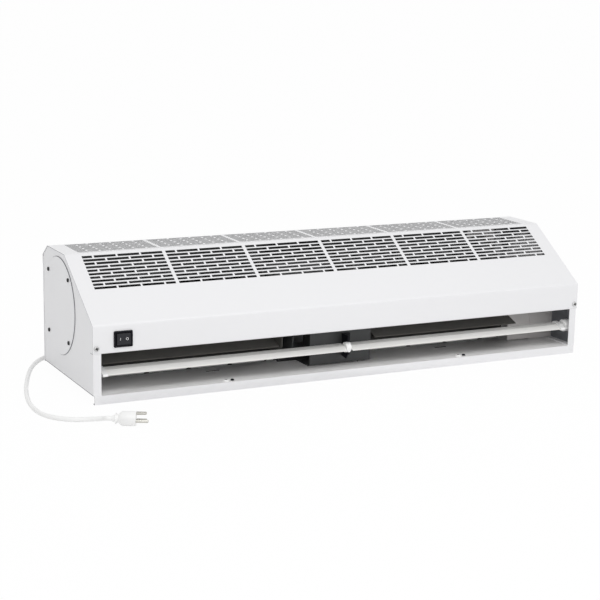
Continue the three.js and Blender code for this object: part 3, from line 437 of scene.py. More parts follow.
# pale grey sheet of the wiring tray; on the right volute past the tray start it is painted light
paleSheet = texturedMaterial(
    "paleSheet", (0.58, 0.562, 0.557), 0.45, grain=1300.0, grainDepth=0.03 * mm,
    cloud=8.0, cloudShare=0.03, wave=(12.0, 0.5 * mm),
)
# near-black motor paint; also painted shade on the inner faces of the cover, the rear panel and the upper
# volutes
motorPaint = texturedMaterial(
    "motorPaint", (0.040, 0.042, 0.043), 0.45, grain=1700.0, grainDepth=0.03 * mm,
    cloud=12.0, cloudShare=0.1,
)


def makeGalvanised():
    material, tree, shader = startMaterial("galvanised", (0.42, 0.43, 0.44), 0.42, 0.9)
    vector = objectCoordinates(tree)
    cells = addNode(tree, "TexVoronoi", {"Scale": 90.0}, {"Vector": vector})
    spangle = addNode(tree, "SeparateColor", links={"Color": cells.outputs["Color"]})
    tint = addTint(tree, spangle.outputs["Red"], (0.36, 0.37, 0.385), (0.50, 0.51, 0.52))
    tree.links.new(tint, shader.inputs["Base Color"])
    gloss = addRange(tree, spangle.outputs["Green"], 0.34, 0.52, 0.0, 1.0)
    tree.links.new(gloss, shader.inputs["Roughness"])
    normal = addBump(tree, addNoise(tree, vector, 700.0, 3.0), 0.02 * mm)
    tree.links.new(normal, shader.inputs["Normal"])
    return material


galvanised = makeGalvanised()
screwSteel = texturedMaterial(
    "screwSteel", (0.62, 0.62, 0.62), 0.28, 1.0, grain=2500.0, grainDepth=0.01 * mm,
    cloud=120.0, cloudShare=0.15, roughSpread=0.1,
)
brightSteel = texturedMaterial(
    "brightSteel", (0.56, 0.56, 0.55), 0.25, 1.0, grain=900.0, grainDepth=0.01 * mm,
    cloud=30.0, cloudShare=0.06, roughSpread=0.08, stretch=(0.05, 1, 1),
)
wheelSteel = texturedMaterial(
    "wheelSteel", (0.20, 0.205, 0.21), 0.45, 0.7, grain=900.0, cloud=20.0, cloudShare=0.12, roughSpread=0.1,
)
vanePlastic = texturedMaterial(
    "vanePlastic", (0.96, 0.955, 0.93), 0.36, grain=600.0, cloud=10.0, stretch=(0.06, 1, 1),
)
# black plastic; also painted shade in the floor slots and in the spare holes beside the floor screws
switchBlack = texturedMaterial(
    "switchBlack", (0.007, 0.007, 0.011), 0.45, grain=3800.0, grainDepth=0.015 * mm,
    cloud=60.0, cloudShare=0.1, roughSpread=0.08, shine=0.15,
)
rockerBlack = texturedMaterial(
    "rockerBlack", (0.024, 0.024, 0.029), 0.5, grain=3800.0, grainDepth=0.015 * mm,
    cloud=60.0, cloudShare=0.1, roughSpread=0.08, shine=0.25,
)
# black rubber and black screw heads; also painted shade in the screws' cross recesses
blackRubber = texturedMaterial(
    "blackRubber", (0.02, 0.02, 0.02), 0.75, grain=2200.0, grainDepth=0.04 * mm,
    cloud=40.0, cloudShare=0.15,
)
cordPlastic = texturedMaterial(
    "cordPlastic", (0.93, 0.93, 0.925), 0.4, grain=1400.0, grainDepth=0.03 * mm,
    cloud=15.0, roughSpread=0.06, wave=(60.0, 0.15 * mm),
)
whiteNylon = texturedMaterial("whiteNylon", (0.965, 0.965, 0.96), 0.34, grain=1600.0, cloud=40.0)
whitePlastic = texturedMaterial(
    "whitePlastic", (0.72, 0.72, 0.69), 0.4, grain=1800.0, cloud=25.0, cloudShare=0.03,
)
platedBrass = texturedMaterial(
    "platedBrass", (0.58, 0.57, 0.53), 0.26, 1.0, grain=1800.0, grainDepth=0.01 * mm,
    cloud=80.0, cloudShare=0.08, roughSpread=0.08, stretch=(0.3, 1, 1),
)
markWhite = texturedMaterial(
    "markWhite", (0.95, 0.95, 0.95), 0.5, grain=3000.0, grainDepth=0.01 * mm, cloud=200.0, cloudShare=0.05,
)
print("materials made")


# Mains cord: one unbroken line from the gland, through the coil, to the plug

cordShape = {
    "radius": 3.5,
    "leftEdge": -450.0,
    "start": (-262.0, 160.3, 30.0),
    "coilCentre": (-335.0, 243.9),
    "coilInner": 28.5,
    "coilTurns": 4,
    "coilPitch": 7.6,
    "coilLayer": 7.6,
    "coilBase": 4.4,
    "coilSoftness": 0.5,
    "pointsPerTurn": 24,
}
# where the cord enters the plug, and how the plug lies on the floor
plugPlace = {
    "start": (-459.8, -235.7, 11.65),
    "angle": -24.8,
    "roll": -70.0,
}
exitRoute = [
    (0, 0, 0), (0, 8, 0), (-1, 16, -1.5), (-6, 26, -6.5), (-15, 34.5, -13.5), (-27, 39, -20.5),
    (-40, 40.3, -24.6), (-53, 40.3, -25.6),
]
runRoute = [
    (89, 200.4, 10.6), (72, 200, 6.8), (57, 198.6, 4.4), (42, 195.7, 3.6), (27, 189, 3.6),
    (12, 177, 3.6), (-1.6, 160.5, 3.6), (-20.9, 128.3, 3.6), (-40.4, 83.3, 3.6),
    (-59.6, 30, 3.6), (-72.2, -10.6, 3.6), (-83.7, -56.3, 3.6), (-90.2, -96.4, 3.6),
    (-91.4, -128.6, 3.6), (-87.4, -153.5, 3.6), (-79.1, -171.3, 3.6), (-67.9, -184.6, 3.6),
    (-54.2, -195, 3.8), (-39.3, -203, 4.6), (-26, -214.5, 7.0), (-18, -225, 9.6),
]


def smoothStep(value, low, high):
    share = min(max((value - low) / (high - low), 0.0), 1.0)
    return share * share * (3 - 2 * share)


def coilPoint(turned):
    shape = cordShape
    fromMiddle = turned - shape["coilTurns"] * math.pi
    away = math.hypot(fromMiddle, shape["coilSoftness"]) - shape["coilSoftness"]
    radius = shape["coilInner"] + shape["coilPitch"] * away / (2 * math.pi)
    angle = -math.pi / 2 - turned
    climb = smoothStep(fromMiddle, -math.pi / 2, math.pi / 2)
    return Vector((
        shape["coilCentre"][0] + radius * math.cos(angle),
        shape["coilCentre"][1] + radius * math.sin(angle),
        shape["coilBase"] + shape["coilLayer"] * climb,
    ))


def cordPoints():
    shape = cordShape
    start = Vector(shape["start"])
    points = [start + Vector(step) for step in exitRoute]
    steps = shape["coilTurns"] * shape["pointsPerTurn"]
    coil = [coilPoint(2 * math.pi * i / shape["pointsPerTurn"]) for i in range(steps + 1)]
    lead = Vector((2 * shape["radius"], 0, 0))
    points += [coil[0] + 2 * lead, coil[0] + lead] + coil + [coil[-1] - lead, coil[-1] - 2 * lead]
    points += [Vector((x + shape["leftEdge"], y, z)) for x, y, z in runRoute]
    angle = math.radians(plugPlace["angle"])
    heading = Vector((math.cos(angle), math.sin(angle), 0))
    end = Vector(plugPlace["start"])
    points += [end - heading * 2.1 * shape["radius"], end + heading * 0.4]
    return [point * mm for point in points]


def makeCord():
    points = cordPoints()
    data = bpy.data.curves.new("mainsCord", "CURVE")
    data.dimensions = "3D"
    data.bevel_depth = cordShape["radius"] * mm
    data.bevel_resolution = 5
    data.resolution_u = 4
    data.use_fill_caps = True
    line = data.splines.new("BEZIER")
    line.bezier_points.add(len(points) - 1)
    for knot, point in zip(line.bezier_points, points):
        knot.co = point
        knot.handle_left_type = "AUTO"
        knot.handle_right_type = "AUTO"
    piece = bpy.data.objects.new("mainsCord", data)
    link(piece)
    bpy.context.view_layer.update()
    length = line.calc_length()
    dress(piece, cordPlastic, "case", "cord_plastic", "cord_exit", "cord_coil", "cord_run")
    print("cord length", round(length, 3), "m")
    return piece, points, length


# Cover: one bent sheet with two slotted faces

innerHalf = 448.5
coverShape = {
    "frontBand": 45.0,
    "slopeRun": 135.0,
    "chamferRun": 26.0,
    "chamferDrop": 18.5,
    "rearLip": 15.0,
    "hem": 12.0,
    "sheet": 1.0,
    "bend": 2.4,
    "bendSteps": 5,
    "slotLong": 36.8,
    "slopeSlotWidth": 5.35,
    "topSlotWidth": 4.4,
    "bridge": 3.0,
    "longSlots": 3,
    "rowPitch": 7.9,
    "blockGap": 5.7,
    "blocks": 6,
    "rows": 10,
    "firstRow": 8.85,
    "slotEdge": 0.12,
    "windowMargin": 1.5,
}


# the slots of one row as (start, end) along X, in millimetres
def slotSpans(row):
    shape = coverShape
    short = (shape["slotLong"] - shape["bridge"]) / 2
    lengths = [short] + [shape["slotLong"]] * shape["longSlots"]
    if row % 2:
        lengths.reverse()
    pitch = sum(lengths) + shape["bridge"] * len(lengths) - shape["bridge"] + shape["blockGap"]
    x = -(shape["blocks"] * pitch - shape["blockGap"]) / 2
    spans = []
    for _ in range(shape["blocks"]):
        at = x
        for length in lengths:
            spans.append((at, at + length))
            at += length + shape["bridge"]
        x += pitch
    return spans


def makeCover():
    shape = coverShape
    low, high, middle = boxOf("cover")
    front, rear, top, lowest = low.y, high.y, high.z, low.z
    path = [
        (front + shape["hem"] * mm, lowest),
        (front, lowest),
        (front, lowest + shape["frontBand"] * mm),
        (front + shape["slopeRun"] * mm, top),
        (rear - shape["chamferRun"] * mm, top),
        (rear, top - shape["chamferDrop"] * mm),
        (rear, top - (shape["chamferDrop"] + shape["rearLip"]) * mm),
    ]
    # the first strip is the hem, and each further strip is extruded from the last edge
    clearSelection()
    bpy.ops.mesh.primitive_plane_add(size=1.0)
    piece = named("slottedCover")
    first, second = path[0], path[1]
    piece.scale = (2 * high.x, first[0] - second[0], 1)
    piece.location = (0, (first[0] + second[0]) / 2, first[1])
    place(piece)
    startEdit(piece)
    for here, there in zip(path[1:], path[2:]):
        choose("EDGE", lambda c, e: max(abs(c.x), abs(c.y - here[0]), abs(c.z - here[1])) < 1e-6)
        extrude(0, there[0] - here[0], there[1] - here[1])

    def onCrease(c, e):
        return abs(c.x) < 1e-6 and any(math.hypot(c.y - y, c.z - z) < 1e-6 for y, z in path[1:-1])
    choose("EDGE", onCrease)
    bevelEdges(shape["bend"], shape["bendSteps"])
    cutGrille(path[3], path[2], shape["slopeSlotWidth"])
    cutGrille(path[3], path[4], shape["topSlotWidth"])
    cutSwitchWindow(front)
    faceOutward()
    endEdit()
    if any(polygon.center.z > top - 1e-6 and polygon.normal.z < 0 for polygon in piece.data.polygons):
        startEdit(piece)
        bpy.ops.mesh.flip_normals()
        endEdit()
    for x in (-innerHalf, innerHalf):
        slicePiece(piece, (x, 0, 0), (1, 0, 0))
    modify(
        piece, "SOLIDIFY", thickness=shape["sheet"] * mm, offset=-1.0, use_even_offset=True, use_rim=True,
    )
    roundEdges(piece, shape["slotEdge"] * mm, 1, 60.0)
    finish(piece, 35.0, powderCoat, "case", "case_paint", "cover", weighted=True)

    def onInside(c, n):
        away = Vector((0, c.y - middle.y, c.z - middle.z))
        return abs(c.x) < innerHalf * mm and n.dot(away) < -0.4 * away.length
    # inner faces painted near black as shade inside the case
    coatFaces(piece, motorPaint, onInside)
    # the sheet's cut ends past the end caps painted grey as a shadow line
    coatFaces(piece, edgeGrey, lambda c, n: abs(n.x) > 0.9 and abs(c.x) > (innerHalf + 1) * mm)


# cuts rows of slots into the flat face that runs from one crease towards another
def cutGrille(start, end, slotWidth):
    shape = coverShape
    along = Vector((0, end[0] - start[0], end[1] - start[1])).normalized()
    origin = Vector((0, start[0], start[1]))
    normal = Vector((1, 0, 0)).cross(along)
    length = math.hypot(end[0] - start[0], end[1] - start[1])

    def down(point):
        return (point - origin).dot(along)

    def onFace(c, f):
        flat = abs((c - origin).dot(normal)) < 1e-6
        return flat and 0 < down(c) < length

    lines = set()
    for row in (0, 1):
        for spanStart, spanEnd in slotSpans(row):
            lines.update((round(spanStart, 4), round(spanEnd, 4)))
    rowMiddles = [shape["firstRow"] + row * shape["rowPitch"] for row in range(shape["rows"])]
    edges = [m + side * slotWidth / 2 for m in rowMiddles for side in (-1, 1)]
    for edge in edges:
        choose("FACE", onFace)
        bpy.ops.mesh.bisect(plane_co=origin + along * edge * mm, plane_no=along)
    bandStart, bandEnd = edges[0] * mm, edges[-1] * mm
    for x in sorted(lines):
        choose("FACE", lambda c, f: onFace(c, f) and bandStart < down(c) < bandEnd)
        bpy.ops.mesh.bisect(plane_co=(x * mm, 0, 0), plane_no=(1, 0, 0))

    spansByRow = [slotSpans(row) for row in range(shape["rows"])]

    def inSlot(c, f):
        if not onFace(c, f):
            return False
        for middle, spans in zip(rowMiddles, spansByRow):
            if abs(down(c) - middle * mm) < slotWidth / 2 * mm:
                return any(a * mm < c.x < b * mm for a, b in spans)
        return False
    choose("FACE", inSlot)
    bpy.ops.mesh.delete(type="FACE")


def cutSwitchWindow(front):
    low, high, _ = boxOf("switch_housing")
    margin = coverShape["windowMargin"] * mm
    x0, x1, z0, z1 = low.x + margin, high.x - margin, low.z + margin, high.z - margin

    def onFront(c, f):
        return abs(c.y - front) < 1e-6

    for at, along in (
        ((x0, 0, 0), (1, 0, 0)), ((x1, 0, 0), (1, 0, 0)), ((0, 0, z0), (0, 0, 1)), ((0, 0, z1), (0, 0, 1)),
    ):
        choose("FACE", onFront)
        bpy.ops.mesh.bisect(plane_co=at, plane_no=along)
    choose("FACE", lambda c, f: onFront(c, f) and x0 < c.x < x1 and z0 < c.z < z1)
    bpy.ops.mesh.delete(type="FACE")


# Screws: one pan head with a cross recess, copied to every place

screwShape = {
    "headRadius": 4.2,
    "headHeight": 2.3,
    "shankRadius": 1.8,
    "length": 8.0,
    "crossLength": 6.8,
    "crossWidth": 2.2,
    "crossDepth": 1.6,
    "crossTaper": 0.45,
    "headRound": 1.25,
    "frontTurn": 0.2,
    "firstTurn": 0.3,
    "turnStep": 1.1,
    "coverShare": 0.78,
    "washerRadius": 6.4,
    "plugRadius": 2.9,
    "plugOffset": 11.0,
}


def makeScrewModel():
    shape = screwShape
    height = shape["headHeight"] * mm
    head = addRound("screwModel", shape["headRadius"] * mm, height, 40, (0, 0, height / 2))
    startEdit(head)
    choose("FACE", lambda c, f: c.z > height - 1e-7)
    bevelEdges(shape["headRound"], 5, 0.6)
    choose("FACE", lambda c, f: c.z < 1e-7 and len(f.verts) > 4)
    bpy.ops.mesh.inset(thickness=(shape["headRadius"] - shape["shankRadius"]) * mm)
    extrude(0, 0, -shape["length"] * mm)
    endEdit()
    bars = []
    half = shape["crossLength"] / 2 * mm
    thin = shape["crossWidth"] / 2 * mm
    depth = shape["crossDepth"] * mm
    for i, (x, y) in enumerate(((half, thin), (thin, half))):
        bar = addBlock(f"crossBar{i}", (-x, -y, height - depth), (x, y, height + 1 * mm))
        startEdit(bar)
        choose("FACE", lambda c, f: c.z < height - depth + 1e-7)
        bpy.ops.transform.resize(value=(shape["crossTaper"], shape["crossTaper"], 1))
        endEdit()
        bars.append(bar)
    for bar in bars:
        modify(head, "BOOLEAN", operation="DIFFERENCE", object=bar, solver="EXACT")
    discard(*bars)
    smooth(head, 32.0)
    return head


# the recess of a screw model whose head lies along Z
def inRecess(c):
    shape = screwShape
    if not 0.1 * mm < c.z < (shape["headHeight"] - 0.3) * mm:
        return False
    narrow, wide = sorted((abs(c.x), abs(c.y)))
    return wide < shape["crossLength"] / 2 * mm + 1e-6 and narrow < shape["crossWidth"] / 2 * mm + 1e-6


# a round piece along Z whose upper rim is rounded
def addButton(name, radius, thickness, rim, segments, sides):
    piece = addRound(name, radius * mm, thickness * mm, sides)
    startEdit(piece)
    choose("FACE", lambda c, f: c.z > (thickness / 2 - 0.1) * mm)
    bevelEdges(rim, segments)
    endEdit()
    return piece


# a painted washer round each floor screw and, in the spare hole beside it, a black dot of painted shade
def addFloorFittings(middle, seat, side):
    shape = screwShape
    washer = addButton(f"{side}FloorWasher", shape["washerRadius"], 1.0, 0.35, 3, 40)
    place(washer, (middle.x, middle.y, seat + 0.5 * mm))
    finish(washer, 35.0, whiteNylon, "case", "case_paint")
    # black dot standing for the spare hole's painted shade
    plug = addButton(f"{side}HoleShadeDot", shape["plugRadius"], 2.4, 1.0, 4, 32)
    place(plug, (middle.x + shape["plugOffset"] * mm, middle.y, seat + 1.0 * mm))
    finish(plug, 35.0, switchBlack, "case", "rubber")


def placeScrews():
    shape = screwShape
    model = makeScrewModel()
    recessed = [inRecess(polygon.center) for polygon in model.data.polygons]
    screwNodes = sorted(name for name in nodes if name.endswith("_screw") or "cover_screw" in name)
    for index, node in enumerate(screwNodes):
        low, high, middle = boxOf(node)
        seatRise = shape["headHeight"] * mm
        screw = duplicate(model, node.replace("_", "") + "Head")
        turn = shape["firstTurn"] + shape["turnStep"] * index
        paint = screwSteel
        if "floor" in node:
            paint = whiteNylon
            place(screw, turn=(0, 0, turn))
            place(screw, (middle.x, middle.y, high.z - seatRise))
            addFloorFittings(middle, high.z - seatRise, node.split("_")[0])
        elif "front" in node:
            place(screw, turn=(0, 0, shape["frontTurn"]))
            place(screw, (middle.x, low.y + seatRise, middle.z), (math.pi / 2, 0, 0))
        else:
            paint = blackRubber
            side = 1 if middle.x > 0 else -1
            seat = high.x - seatRise if side > 0 else low.x + seatRise
            screw.scale = (shape["coverShare"],) * 3
            place(screw, turn=(0, 0, turn))
            place(screw, (seat, middle.y, middle.z), (0, side * math.pi / 2, 0))
        dress(screw, paint, "case", "screw_steel", node)
        # cross recess faces painted black: painted shade in the recess
        screw.data.materials.append(blackRubber)
        for polygon, inside in zip(screw.data.polygons, recessed):
            polygon.material_index = 1 if inside else 0
    discard(model)


# Round covers on the end caps, each with its rim painted as a shadow line and a thin dark ring under it
# that shows as a painted shadow line round its edge

roundCoverShape = {
    "sides": 128,
    "edge": 0.45,
    "rim": 9.0,
    "sealReach": 0.8,
    "sealSheet": 0.3,
    "sealWidth": 3.0,
    "sealRise": 0.1,
}


def makeRoundCover(side, node):
    shape = roundCoverShape
    low, high, middle = boxOf(node)
    radius = (high.z - low.z) / 2
    thick = high.x - low.x
    turn = (0, side * math.pi / 2, 0)
    disc = addRound(node.replace("_round_cover", "RoundCover"), radius, thick, shape["sides"])
    startEdit(disc)
    choose("FACE", lambda c, f: c.z > thick / 2 - 1e-7)
    bevelEdges(shape["edge"], 3)
    choose("FACE", lambda c, f: c.z > thick / 2 - 1e-7 and len(f.verts) > 4)
    bpy.ops.mesh.inset(thickness=shape["rim"] * mm)
    endEdit()
    place(disc, middle, turn)
    finish(disc, 30.0, powderCoat, "case", "case_paint", node, weighted=True)
    # rim faces painted as a shadow line: grey on the lower side, darker slate on the upper side
    coatFaces(disc, edgeGrey, lambda c, n: abs(n.x) < 0.5 and n.z <= 0.2)
    coatFaces(disc, slateCoat, lambda c, n: abs(n.x) < 0.5 and n.z > 0.2)
    # a thin dark ring under the disc, showing round it as a painted shadow line
    shadowRing = addRound(
        node.replace("_round_cover", "CoverSeal"), radius + shape["sealReach"] * mm,
        shape["sealSheet"] * mm, shape["sides"],
    )
    openRing(shadowRing, shape["sealWidth"] * mm)
    seat = low.x if side > 0 else high.x
    place(shadowRing, (seat + side * shape["sealRise"] * mm, middle.y, middle.z), turn)
    finish(shadowRing, 30.0, edgeGrey, "case", "rubber")


# Rocker switch

switchShape = {
    "bezelDepth": 2.0,
    "bezelCorner": 1.6,
    "bezelRim": 0.5,
    "bezelLip": 2.6,
    "bodyInset": 1.75,
    "wellDepth": 11.0,
    "rockerGap": 1.1,
    "rockerBack": 4.0,
    "rockerDip": 0.9,
    "rockerStrips": 12,
    "textSize": 5.6,
    "markThickness": 0.06,
    "markSink": 0.03,
    "marks": (("I", -5.6), ("O", 5.6)),
}


def makeSwitch():
    shape = switchShape
    low, high, _ = boxOf("switch_housing")
    back = low.y + shape["bezelDepth"] * mm
    bezel = addBlock("switchBezel", low, (high.x, back, high.z))
    startEdit(bezel)
    choose("EDGE", lambda c, e: abs(e.verts[0].co.y - e.verts[1].co.y) > 1e-6)
    bevelEdges(shape["bezelCorner"], 5)
    choose("FACE", lambda c, f: c.y < low.y + 1e-7)
    bpy.ops.mesh.inset(thickness=shape["bezelRim"] * mm)
    bpy.ops.transform.translate(value=(0, -1e-7, 0))
    bpy.ops.mesh.inset(thickness=(shape["bezelLip"] - shape["bezelRim"]) * mm)
    extrude(0, shape["wellDepth"] * mm, 0)
    choose("FACE", lambda c, f: abs(c.y - back) < 1e-7)
    bpy.ops.mesh.inset(thickness=shape["bodyInset"] * mm)
    extrude(0, high.y - back, 0)
    endEdit()
    roundEdges(bezel, 0.25 * mm, 2, 50.0)
    finish(bezel, 35.0, switchBlack, "case", "black_plastic", "switch_housing", weighted=True)


def makeRocker():
    shape = switchShape
    low, high, middle = boxOf("switch_rocker")
    gap = shape["rockerGap"] * mm
    rocker = addBlock(
        "rockerButton",
        (low.x, low.y, low.z + gap), (high.x, high.y - shape["rockerBack"] * mm, high.z - gap),
    )
    halfWidth = (high.x - low.x) / 2
    startEdit(rocker)
    for i in range(1, shape["rockerStrips"]):
        sliceAll((low.x + (high.x - low.x) * i / shape["rockerStrips"], 0, 0), (1, 0, 0))

    def dip(x):
        return shape["rockerDip"] * mm * (1 - ((x - middle.x) / halfWidth) ** 2)

    def pressIn(co):
        if co.y < low.y + 1e-6:
            co.y = low.y + dip(co.x)
        return co
    moveVertices(pressIn)
    endEdit()
    roundEdges(rocker, 0.45 * mm, 3, 40.0)
    finish(rocker, 35.0, rockerBlack, "rocker", "black_plastic", "switch_rocker", weighted=True)
    for index, (words, x) in enumerate(shape["marks"]):
        clearSelection()
        bpy.ops.object.text_add()
        mark = bpy.context.view_layer.objects.active
        mark.data.body = words
        mark.data.size = shape["textSize"] * mm
        mark.data.extrude = shape["markThickness"] * mm
        mark.data.align_x = "CENTER"
        mark.data.align_y = "CENTER"
        bpy.ops.object.convert(target="MESH")
        mark = named(f"switchMark{index + 1}")
        place(mark, (middle.x + x * mm, low.y, middle.z), (math.pi / 2, 0, 0))
        for vertex in mark.data.vertices:
            vertex.co.y += dip(vertex.co.x) - shape["markSink"] * mm
        dress(mark, markWhite, "rocker", "black_plastic")


# Clip round the middle of the vane, with two ears at the front

clipShape = {
    "share": 0.86,
    "earWidth": 4.4,
    "earStart": 7.0,
    "earEnd": 11.0,
    "earThickness": 2.0,
    "earTaper": (0.6, 0.7, 1),
    "earAngles": (48.0, 128.0),
}


def makeClip():
    shape = clipShape
    middle = boxOf("vane_clip")[2]
    ring = softened("vane_clip", 0.5, whiteNylon, "vane_plastic", 3)
    startEdit(ring)
    bpy.ops.transform.resize(value=(1, shape["share"], shape["share"]), center_override=middle)
    endEdit()
    halfWidth = shape["earWidth"] / 2 * mm
    half = shape["earThickness"] / 2 * mm
    for index, angle in enumerate(shape["earAngles"]):
        ear = addBlock(
            f"clipEar{index + 1}",
            (-halfWidth, -half, shape["earStart"] * mm), (halfWidth, half, shape["earEnd"] * mm),
        )
        startEdit(ear)
        choose("FACE", lambda c, f: c.z > shape["earEnd"] * mm - 1e-7)
        bpy.ops.transform.resize(value=shape["earTaper"])
        endEdit()
        place(ear, middle, (math.radians(angle), 0, 0))
        roundEdges(ear, 0.4 * mm, 3)
        finish(ear, 35.0, whiteNylon, bodyOf("vane_clip"), "vane_plastic")


# Cover sheet that closes the gap between the right duct and the wiring tray

trayWingShape = {
    "x": (352.6, 398.8),
    "y": (-52.6, -51.4),
    "z": (15.6, 100.0),
    "sheet": 1.2,
    "fold": 9.0,
}


def makeTrayWing():
    shape = trayWingShape
    wing = addBlock(
        "trayWing",
        [shape[axis][0] * mm for axis in "xyz"], [shape[axis][1] * mm for axis in "xyz"],
    )
    startEdit(wing)
    choose("FACE", lambda c, f: c.z > shape["z"][1] * mm - 1e-7)
    extrude(0, 0, shape["sheet"] * mm)
    choose("FACE", lambda c, f: c.z > shape["z"][1] * mm + 1e-7 and f.normal.y > 0.9)
    extrude(0, shape["fold"] * mm, 0)
    endEdit()
    roundEdges(wing, 0.25 * mm)
    finish(wing, 35.0, paleSheet, "case", "galvanised", weighted=True)


# Motor cradle and motor plate, cut back at their lower left where the photo shows bare floor

cornerShape = {
    "left": -96.0,
    "cradleRight": -60.2,
    "cradleNear": -91.0,
    "plateRight": -58.6,
    "plateNear": -83.2,
    "far": -34.0,
    "low": 13.0,
    "frontHeight": 37.0,
    "backHeight": 22.5,
}


def cutCorner(piece, right, near):
    shape = cornerShape
    top = shape["frontHeight"] * mm
    wedge = addBlock(
        "cornerCut",
        (shape["left"] * mm, near * mm, shape["low"] * mm), (right * mm, shape["far"] * mm, top),
    )
    startEdit(wedge)
    choose("EDGE", lambda c, e: c.z > top - 1e-7 and c.y > shape["far"] * mm - 1e-7)
    bpy.ops.transform.translate(value=(0, 0, shape["backHeight"] * mm - top))
    endEdit()
    modify(piece, "BOOLEAN", operation="DIFFERENCE", object=wedge, solver="EXACT")
    discard(wedge)


# Blower wheels

wheelShape = {
    "radius": 59.5,
    "bladeDepth": 11.0,
    "blades": 32,
    "bladeSheet": 0.6,
    "bladeCurve": 2.6,
    "discSheet": 1.5,
    "discReach": 0.2,
    "discSides": 72,
    "ringSheet": 1.2,
    "rings": 2,
    "hubRadius": 16.0,
    "hubDepth": 4.0,
    "hubWall": 1.2,
}


def makeWheel(node):
    shape = wheelShape
    low, high, middle = boxOf(node)
    length = high.x - low.x
    outer = shape["radius"] * mm
    inner = outer - shape["bladeDepth"] * mm
    name = node.replace("_wheel", "Wheel")
    clearSelection()
    bpy.ops.mesh.primitive_plane_add(size=1.0)
    blades = named(name + "Blades")
    blades.scale = (length - shape["discSheet"] * mm, outer - inner, 1)
    blades.location = (0, (outer + inner) / 2, 0)
    place(blades)
    startEdit(blades)
    for i in range(1, 4):
        sliceAll((0, inner + (outer - inner) * i / 4, 0), (0, 1, 0))

    def curl(co):
        share = (co.y - inner) / (outer - inner)
        co.z = shape["bladeCurve"] * mm * share * share
        return co
    moveVertices(curl)
    endEdit()
    modify(blades, "SOLIDIFY", thickness=shape["bladeSheet"] * mm, offset=0.0)
    startEdit(blades)
    steps = shape["blades"] - 1
    turn = 2 * math.pi * steps / shape["blades"]
    bpy.ops.mesh.spin(steps=steps, dupli=True, angle=turn, center=(0, 0, 0), axis=(1, 0, 0))
    endEdit()
    parts = [blades]
    discRadius = outer + shape["discReach"] * mm
    hubDepth = shape["hubDepth"] * mm
    discPlace = (length - shape["discSheet"] * mm) / 2
    for i, x in enumerate((-discPlace, discPlace)):
        disc = addRound(f"{name}Disc{i}", discRadius, shape["discSheet"] * mm, shape["discSides"])
        startEdit(disc)
        choose("FACE", lambda c, f: len(f.verts) > 4)
        bpy.ops.mesh.inset(thickness=outer - shape["hubRadius"] * mm)
        bpy.ops.mesh.extrude_region_shrink_fatten(TRANSFORM_OT_shrink_fatten={"value": hubDepth})
        bpy.ops.mesh.inset(thickness=shape["hubWall"] * mm)
        endEdit()
        place(disc, (x, 0, 0), (0, math.pi / 2, 0))
        parts.append(disc)
    for i in range(shape["rings"]):
        ring = addRound(f"{name}Ring{i}", discRadius, shape["ringSheet"] * mm, shape["discSides"])
        openRing(ring, outer - inner + 1 * mm)
        x = length * ((i + 1) / (shape["rings"] + 1) - 0.5)
        place(ring, (x, 0, 0), (0, math.pi / 2, 0))
        parts.append(ring)
    wheel = joinPieces(parts, name)
    smooth(wheel, 30.0)
    place(wheel, middle)
    dress(wheel, wheelSteel, "rotor", "wheel_steel", node)


# Plug

plugShape = {
    "sides": 48,
    "length": 35.5,
    "halfWidth": 9.8,
    "halfDepth": 9.2,
    "collar": 8.0,
    "neck": 5.8,
    "bladeLength": 15.5,
    "bladeWidth": 6.3,
    "bladeThickness": 1.5,
    "bladeSpacing": 12.7,
    "bladeRise": 4.83,
    "pinOffset": 11.5,
    "pinRadius": 2.4,
    "pinLength": 18.5,
    "holeRadius": 1.5,
    "holeInset": 4.0,
}


def placeOnPlug(piece):
    place(piece, (0, 0, 0), (math.radians(plugPlace["roll"]), 0, 0))
    place(piece, [value * mm for value in plugPlace["start"]], (0, 0, math.radians(plugPlace["angle"])))


def makePlugBody():
    shape = plugShape
    length = shape["length"]
    collar, neck = shape["collar"], shape["neck"]
    wide, deep = shape["halfWidth"], shape["halfDepth"]
    rings = [  # distance, half width, half depth, squareness
        (0.0, 4.5, 4.5, 2.0), (2.2, 5.0, 5.0, 2.0), (4.4, 5.6, 5.6, 2.0), (4.8, 8.0, 8.0, 2.0),
        (5.2, collar, collar, 2.0), (6.5, collar, collar, 2.0), (7.0, 8.0, 8.0, 2.0),
        (7.3, neck, neck, 2.0), (9.2, neck, neck, 2.0), (11.2, 7.7, 7.2, 2.3),
        (13.2, wide - 0.9, deep - 0.9, 2.8), (15.0, wide, deep, 3.2), (length - 1.6, wide, deep, 3.4),
        (length - 0.5, wide - 0.35, deep - 0.35, 3.4), (length, wide - 1.2, deep - 1.2, 3.4),
    ]
    body = addRound("plugBody", 1.0, length * mm, shape["sides"])
    place(body, (length / 2 * mm, 0, 0), (0, math.pi / 2, 0))
    startEdit(body)
    for distance, *_ in rings[1:-1]:
        sliceAll((distance * mm, 0, 0), (1, 0, 0))

    def toRing(co):
        distance = co.x / mm
        ring = min(rings, key=lambda r: abs(r[0] - distance))
        angle = math.atan2(co.z, co.y)
        c, s = math.cos(angle), math.sin(angle)
        power = 2 / ring[3]
        co.y = ring[1] * mm * math.copysign(abs(c) ** power, c)
        co.z = ring[2] * mm * math.copysign(abs(s) ** power, s)
        return co
    moveVertices(toRing)
    endEdit()
    smooth(body, 40.0)
    placeOnPlug(body)
    dress(body, cordPlastic, "case", "cord_plastic", "plug_body")
    return body


